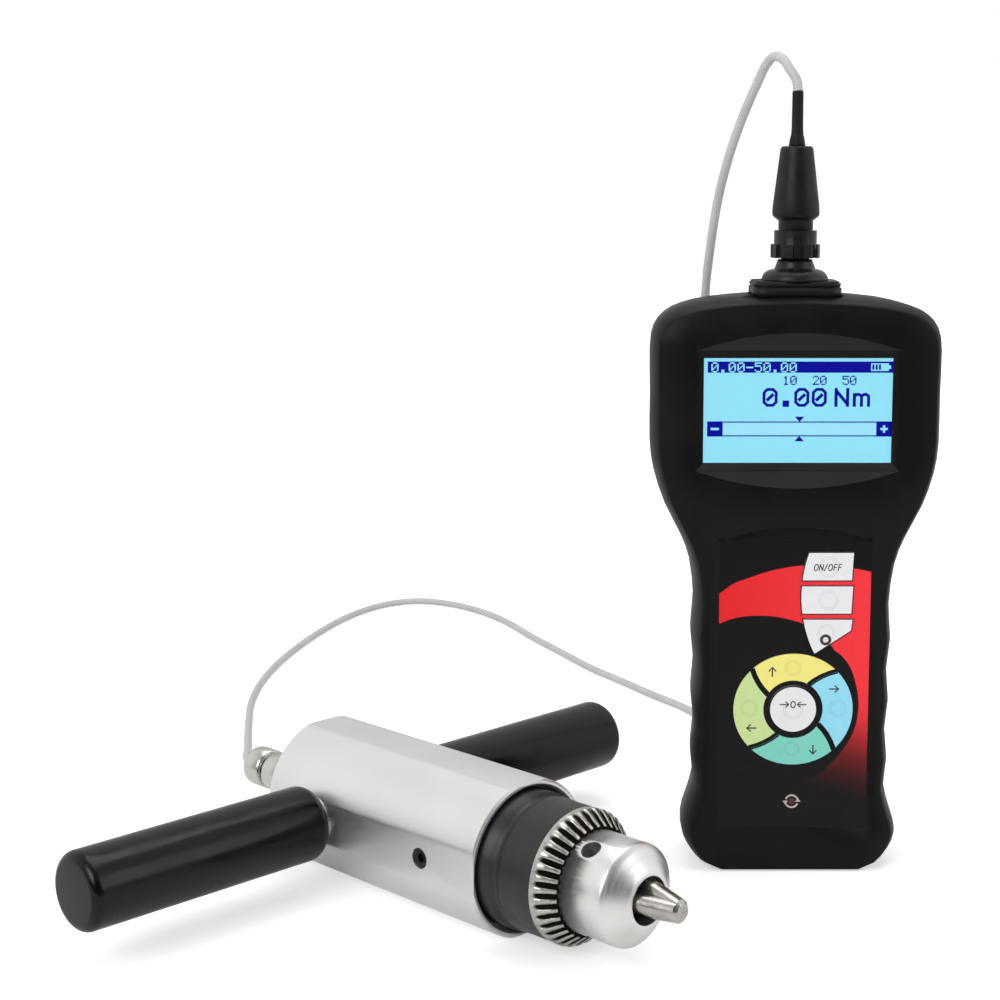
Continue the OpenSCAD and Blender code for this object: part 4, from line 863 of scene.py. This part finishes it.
def flat_piece(name, outlines, depth, material, body):
    """Flat polygons on the case's face: outlines are lists of points to the right and up, in order
    against the clock as the viewer sees them."""
    points, faces, count = [], [], 0
    for outline in outlines:
        flat = np.asarray(outline, float)
        points.append(indicator_place(flat[:, 0], depth, flat[:, 1]))
        faces.append(list(range(count, count + len(flat))))
        count += len(flat)
    return put_mesh(name, np.vstack(points), faces, material, body)


def stroke_quads(line, width):
    """Outlines of a stroke of even width along a line: each point is moved half the width to both
    sides along the mean of its two segments' normals."""
    p = np.asarray(line, float)
    step = np.diff(p, axis=0)
    normal = np.stack([-step[:, 1], step[:, 0]], -1) / np.linalg.norm(step, axis=1, keepdims=True)
    closed = np.allclose(p[0], p[-1])
    first = normal[-1:] + normal[:1] if closed else normal[:1]
    last = first if closed else normal[-1:]
    mean = np.vstack([first, normal[:-1] + normal[1:], last])
    mean /= np.linalg.norm(mean, axis=1, keepdims=True)
    left, right = p + mean * width / 2, p - mean * width / 2
    return [[right[i], right[i + 1], left[i + 1], left[i]] for i in range(len(p) - 1)]


def circle_line(x, z, radius, count=40, squash=1.0):
    """Closed ring of points round a centre."""
    turn = np.linspace(0, 2 * math.pi, count + 1)
    return np.stack([x + radius * np.cos(turn), z + radius * squash * np.sin(turn)], -1)


def arrow_lines(x, z, turn, length=3.3, head=1.25):
    """Shaft and head of an arrow that points up and is then turned clockwise by an angle in
    degrees."""
    tip, barb = length / 2, length / 2 - head * 1.15
    shape = [np.array([[0, -tip], [0, tip - 0.1]]),
             np.array([[-head, barb], [0, tip], [head, barb]])]
    a = math.radians(turn)
    spin = np.array([[math.cos(a), -math.sin(a)], [math.sin(a), math.cos(a)]])
    return [line @ spin + [x, z] for line in shape]


def strokes(name, lines, width, depth, material, body):
    """Printed strokes of one width along several lines."""
    outlines = [quad for line in lines for quad in stroke_quads(line, width)]
    return flat_piece(name, outlines, depth, material, body)


# Strokes of letters one unit high, and their widths
LETTERS = {
    "O": ([circle_line(0.34, 0.5, 0.34, 16, 1.47)], 0.68),
    "N": ([[(0, 0), (0, 1)], [(0, 0.95), (0.6, 0.05)], [(0.6, 0), (0.6, 1)]], 0.6),
    "F": ([[(0, 0), (0, 1), (0.55, 1)], [(0, 0.52), (0.47, 0.52)]], 0.55),
    "/": ([[(0, -0.08), (0.42, 1.08)]], 0.42),
}


def word_lines(word, x, z, height, lean=0.2, gap=0.3):
    """Lines of a short word in upright strokes that lean to the right, from a left foot point."""
    lines, at = [], 0.0
    for letter in word:
        shapes, width = LETTERS[letter]
        for shape in shapes:
            p = np.asarray(shape, float)
            lines.append(np.stack([x + (at + p[:, 0] + lean * p[:, 1]) * height * 0.85,
                                   z + p[:, 1] * height], -1))
        at += width + gap
    return lines


def front_outline(key):
    """Outline of a key's flat front, against the clock: the edges that only one of its front faces
    has, walked from each to the next."""
    mesh = nodes[key].data
    place = np.array([vertex.co for vertex in mesh.vertices]) / MM
    corner = [tuple(p) for p in np.round(place[:, [0, 2]] - [INDICATOR_X, 0.0], 3)]
    front = place[:, 1] - INDICATOR_Y < KEY_FACE + INK_LIFT
    edges = set()
    for face in mesh.polygons:
        ring = list(face.vertices)
        if front[ring].all():
            edges.update(zip([corner[i] for i in ring], [corner[i] for i in ring[1:] + ring[:1]]))
    follows = {start: end for start, end in edges if (end, start) not in edges}
    line = [min(follows)]
    while len(line) <= len(follows):
        line.append(follows[line[-1]])
    return line


WHEEL_MIDDLE = (0.0, 58.0)
WHITE_BORDER = 0.25
WHEEL_BORDER = 0.5
SIDE_SLOPE = 0.3


def key_border(key, width, sides_only=False):
    """Printed border of a key: each edge of its outline, moved outwards by the rounding of the
    key's edge and inwards by the width along its normal; on the wheel's coloured keys only along
    the two sides, whose edges don't run round the wheel."""
    line = np.array(front_outline(key))
    start, end = line[:-1], line[1:]
    step = end - start
    length = np.linalg.norm(step, axis=1)
    normal = np.stack([-step[:, 1], step[:, 0]], -1) / length[:, None]
    outward = (start + end) / 2 - WHEEL_MIDDLE
    slope = np.abs((step * outward).sum(1)) / length / np.linalg.norm(outward, axis=1)
    over, under = normal * EDGE_ROUNDING, normal * width
    quads = np.stack([start - over, end - over, end + under, start + under], axis=1)
    if sides_only:
        quads = quads[slope > SIDE_SLOPE]
    return flat_piece(key + "_border", quads, KEY_FACE - INK_LIFT / 2, border_black, key + "_body")


for key in KEYS[:3]:
    key_border(key, WHITE_BORDER)
for key in KEYS[3:7]:
    key_border(key, WHEEL_BORDER, True)
key_border("enter_key", WHEEL_BORDER)

# Middle and radius of the snap domes
DOMES = {
    "power_key": (11.4, 107.8, 3.4), "unit_key": (11.4, 96.4, 3.4), "light_key": (10.8, 84.9, 2.9),
    "up_key": (-0.2, 72.6, 2.7), "right_key": (15.4, 58.4, 2.9), "down_key": (-0.2, 44.0, 2.5),
    "left_key": (-15.2, 58.4, 2.9), "enter_key": (0.0, 58.0, 3.4)}
# Painted shadow: two faint dark rings round each snap dome on its key's film
for key, (x, z, radius) in DOMES.items():
    strokes(key + "_dome_painted_shadow", [circle_line(x, z, radius), circle_line(x, z, radius * 0.8)], 0.22,
            KEY_FACE - INK_LIFT / 2, dome_shade, key + "_body")


def key_mark(key, name, lines, width):
    """Dark symbol printed on a key."""
    strokes(name, lines, width, KEY_CAP, ink_dark, key + "_body")


# Middle of each arrow and its turn from upright
ARROWS = {"up": (-7.3, 71.2, 0), "right": (13.9, 65.2, 90), "left": (-14.2, 51.4, -90),
          "down": (7.1, 43.8, 180)}
ZERO_Z = 59.7
TURN_MARK = (0.1, 25.2)
key_mark("power_key", "power_word", word_lines("ON/OFF", 6.2, 106.6, 2.2), 0.36)
for way, spot in ARROWS.items():
    key_mark(way + "_key", way + "_arrow", arrow_lines(*spot), 0.5)
key_mark("enter_key", "zero_symbol", arrow_lines(-3.0, ZERO_Z, 90, 3.1, 1.0)
         + arrow_lines(3.0, ZERO_Z, -90, 3.1, 1.0) + [circle_line(0, ZERO_Z, 0.75, 20, 1.5)], 0.42)
key_mark("light_key", "light_symbol", [circle_line(10.7, 82.5, 1.45, 32)], 1.0)
turn_ring = circle_line(*TURN_MARK, 2.15, 48)
strokes("turn_mark", [turn_ring[1:22], turn_ring[25:46]], 0.62, FILM_FACE - INK_LIFT, ink_pale,
        "meter")
heads = [[(1.35, 25.0), (3.25, 25.0), (2.3, 26.4)], [(-1.15, 25.4), (-3.05, 25.4), (-2.1, 24.0)]]
flat_piece("turn_mark_heads", heads, FILM_FACE - INK_LIFT * 1.4, ink_pale, "meter")
flat_piece("turn_mark_middle", [circle_line(*TURN_MARK, 1.25, 32)[:-1]], FILM_FACE - INK_LIFT,
           ink_red, "meter")

# Dot patterns of the display, five dots wide and seven high, top row first
DOT_ROWS = {
    "0": (14, 17, 19, 21, 25, 17, 14), "1": (4, 12, 4, 4, 4, 4, 14), "2": (14, 17, 1, 2, 4, 8, 31),
    "5": (31, 16, 30, 1, 1, 17, 14), ".": (0, 0, 0, 0, 0, 12, 12), "-": (0, 0, 0, 31, 0, 0, 0),
    " ": (0, 0, 0, 0, 0, 0, 0)}


def dot_boxes(word, x, z, dot, advance=6):
    """Square outlines of the lit dots of a word whose top left corner is given."""
    boxes = []
    for place, sign in enumerate(word):
        rows = np.array(DOT_ROWS[sign])[:, None]
        lit = np.argwhere(rows >> np.arange(4, -1, -1) & 1)
        for row, column in lit:
            left = x + (place * advance + column) * dot
            top = z - row * dot
            boxes.append(box_outline(left, left + dot, top - dot, top))
    return boxes


def box_outline(x0, x1, z0, z1):
    """Rectangle against the clock as the viewer sees it."""
    return [(x0, z0), (x1, z0), (x1, z1), (x0, z1)]


def on_display(name, outlines, lift, material):
    """Marks of the display, lift counted in layers of ink in front of its face."""
    return flat_piece(name, outlines, DISPLAY_FACE - lift * INK_LIFT, material, "meter")


# Sides of the picture and of the bar in it, and the heights of the bar's lines
PICTURE_LEFT, PICTURE_RIGHT = -30.4, 32.0
BAR_LEFT, BAR_RIGHT = -25.1, 26.8
BAR_FOOT, BAR_LOW, BAR_HIGH, BAR_TOP = 152.25, 152.65, 156.95, 157.35
on_display("title_bar", [box_outline(PICTURE_LEFT, PICTURE_RIGHT, 173.9, 177.7)], 1, blue_dots)
on_display("title_range", dot_boxes("0.00-50.00", -29.2, 177.4, DOT), 2, paint["lcd"])
on_display("battery_sign", [box_outline(24.6, 30.6, 174.5, 177.1),
                            box_outline(30.6, 31.3, 175.2, 176.4)], 2, paint["lcd"])
on_display("battery_bars", [box_outline(25.0 + 1.1 * k, 25.7 + 1.1 * k, 174.9, 176.7)
                            for k in range(3)], 3, blue_dots)
on_display("second_line", dot_boxes("10  20  50", -5.1, 172.9, DOT * 0.92, 5.6), 1, blue_dots)
# Strokes of the large signs in millimetres, and where each stands in the reading
BIG_SIGNS = {
    "0": [[(1.1, 0), (3.0, 0), (4.1, 1.1), (4.1, 4.3), (3.0, 5.4), (1.1, 5.4), (0, 4.3), (0, 1.1),
           (1.1, 0)], [(0.9, 1.6), (3.2, 3.8)]],
    "N": [[(0, -0.5), (0, 5.9)], [(0, 5.0), (3.9, 0.4)], [(3.9, -0.5), (3.9, 5.9)]],
    "m": [[(0, -0.5), (0, 4.2)], [(0, 3.1), (0.8, 3.7), (1.6, 3.7), (2.4, 3.1), (2.4, -0.5)],
          [(2.4, 3.1), (3.2, 3.7), (4.0, 3.7), (4.8, 3.1), (4.8, -0.5)]],
}
READING = (("0", -11.3), ("0", -0.6), ("0", 5.3), ("N", 13.0), ("m", 19.2))
reading = [np.asarray(line) + [x, 162.85] for sign, x in READING for line in BIG_SIGNS[sign]]
on_display("reading", [quad for line in reading for quad in stroke_quads(line, 1.1)]
           + [box_outline(-5.0, -2.8, 162.3, 164.5)], 1, blue_dots)
on_display("bar_face", [box_outline(BAR_LEFT, BAR_RIGHT, BAR_LOW, BAR_HIGH)], 1, pale_bar)
on_display("bar_ends", [box_outline(left, right, BAR_FOOT - 0.05, BAR_TOP + 0.05) for left, right
                        in ((PICTURE_LEFT, BAR_LEFT), (BAR_RIGHT, PICTURE_RIGHT))], 1, blue_dots)
on_display("bar_lines", [box_outline(BAR_LEFT, BAR_RIGHT, low, high) for low, high
                         in ((BAR_HIGH, BAR_TOP), (BAR_FOOT, BAR_LOW))], 1, blue_dots)
on_display("bar_signs", [box_outline(-29.2, -26.4, 154.4, 155.2),
                         box_outline(28.2, 30.7, 154.4, 155.2),
                         box_outline(29.05, 29.85, 153.55, 154.4),
                         box_outline(29.05, 29.85, 155.2, 156.05)], 2, paint["lcd"])
on_display("bar_pointers", [[(-0.8, 159.0), (0.8, 157.2), (2.4, 159.0)],
                            [(-0.8, 150.6), (2.4, 150.6), (0.8, 152.4)]], 1, blue_dots)

# ------------------------ surfaces on the case's face

def keypad_brow(rise=4.6, lift=0.4, sunk=0.3):
    """Shallow brow over the keypad: between the sheet's upper edge and a parabola above it, the
    surface slopes from lift millimetres proud down to the face; its underside lies in the case."""
    low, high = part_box("keypad_sheet")
    half = (high[0] - low[0]) / 2 / MM
    foot = high[2] / MM + 0.15
    x = np.linspace(-half, half, 33)
    top = foot + np.maximum(rise * (1 - (x / half) ** 2), 0.2)
    rings = [(sunk, top), (0.0, top), (-lift, foot + 0.25 + 0 * x), (-lift * 0.8, foot + 0 * x),
             (sunk, foot + 0 * x)]
    points = np.stack([indicator_place(x, y, z) for y, z in rings], 1)
    count, last = len(rings), (len(x) - 1) * len(rings)
    ends = [list(range(count))[::-1], list(range(last, last + count))]
    return put_mesh("keypad_brow", points, grid_faces(len(x), count, True) + ends,
                    paint["case_black"], "meter", 50.0, True)


keypad_brow()

# Where the rays at the cover start, before its face, and how far a skin stays before the cover
BEFORE_FACE = 20.0
SKIN_LIFT = 0.03
cover_mesh = nodes["front_cover"].data
cover_faces = BVHTree.FromPolygons([v.co for v in cover_mesh.vertices],
                                   [f.vertices for f in cover_mesh.polygons])


def on_cover(name, right, up, material):
    """Skin on the case's face: every point of the grid, given to the right and up, goes straight
    back until it meets the front cover and stays a hair before it."""
    starts = indicator_place(right, -BEFORE_FACE, up).reshape(-1, 3)
    points = np.array([cover_faces.ray_cast(start.tolist(), (0, 1, 0))[0] for start in starts])
    points[:, 1] -= SKIN_LIFT * MM
    faces = np.array(grid_faces(*right.shape))
    if (right[0, 1] - right[0, 0]) * (up[1, 0] - up[0, 0]) < 0:
        faces = faces[:, ::-1]
    return put_mesh(name, points, faces.tolist(), material, "meter")


# Window: middle height, half its width and height, width of its bevel; then how far the scoops over
# and under it rise. The skins on the scoops and on the lower bevel are painted lighter than the
# case as painted light; the lower scoop, which faces up, is painted lightest.
WINDOW_Z, WINDOW_HALF_W, WINDOW_HALF_H, BEVEL_W = 161.2, 31.8, 17.8, 2.6
SCOOP_RISE = 5.9
EDGE_MARGIN = 0.1
across, out = np.meshgrid(np.linspace(-1, 1, 61), np.linspace(0, 1, 9))
bevel = EDGE_MARGIN + out * (BEVEL_W - 2 * EDGE_MARGIN)
scoop = BEVEL_W + EDGE_MARGIN / 2 + out * np.maximum(SCOOP_RISE * (1 - across ** 2), SKIN_LIFT)
right = across * (WINDOW_HALF_W + BEVEL_W - EDGE_MARGIN)
# Painted light: the scoops over and under the window are paler skins standing in for the light they
# catch
on_cover("scoop_above", right, WINDOW_Z + WINDOW_HALF_H + scoop,
         scoop_plastic_painted_light("scoop_above_painted_light", 0.013))
on_cover("scoop_below", right, WINDOW_Z - WINDOW_HALF_H - scoop,
         scoop_plastic_painted_light("scoop_below_painted_light", 0.024))
# Painted light: the window's lower bevel is a paler skin standing in for the light it catches from
# above
on_cover("window_sill", across * (WINDOW_HALF_W + bevel), WINDOW_Z - WINDOW_HALF_H - bevel,
         scoop_plastic_painted_light("window_sill_painted_light", 0.017))

# ------------------------ the cord's facts and the end

cable = lay_cable(paint["cable_grey"])
cable_length = float(np.linalg.norm(np.diff(cable_line(), axis=0), axis=1).sum())

bpy.context.scene.view_settings.view_transform = "Standard"
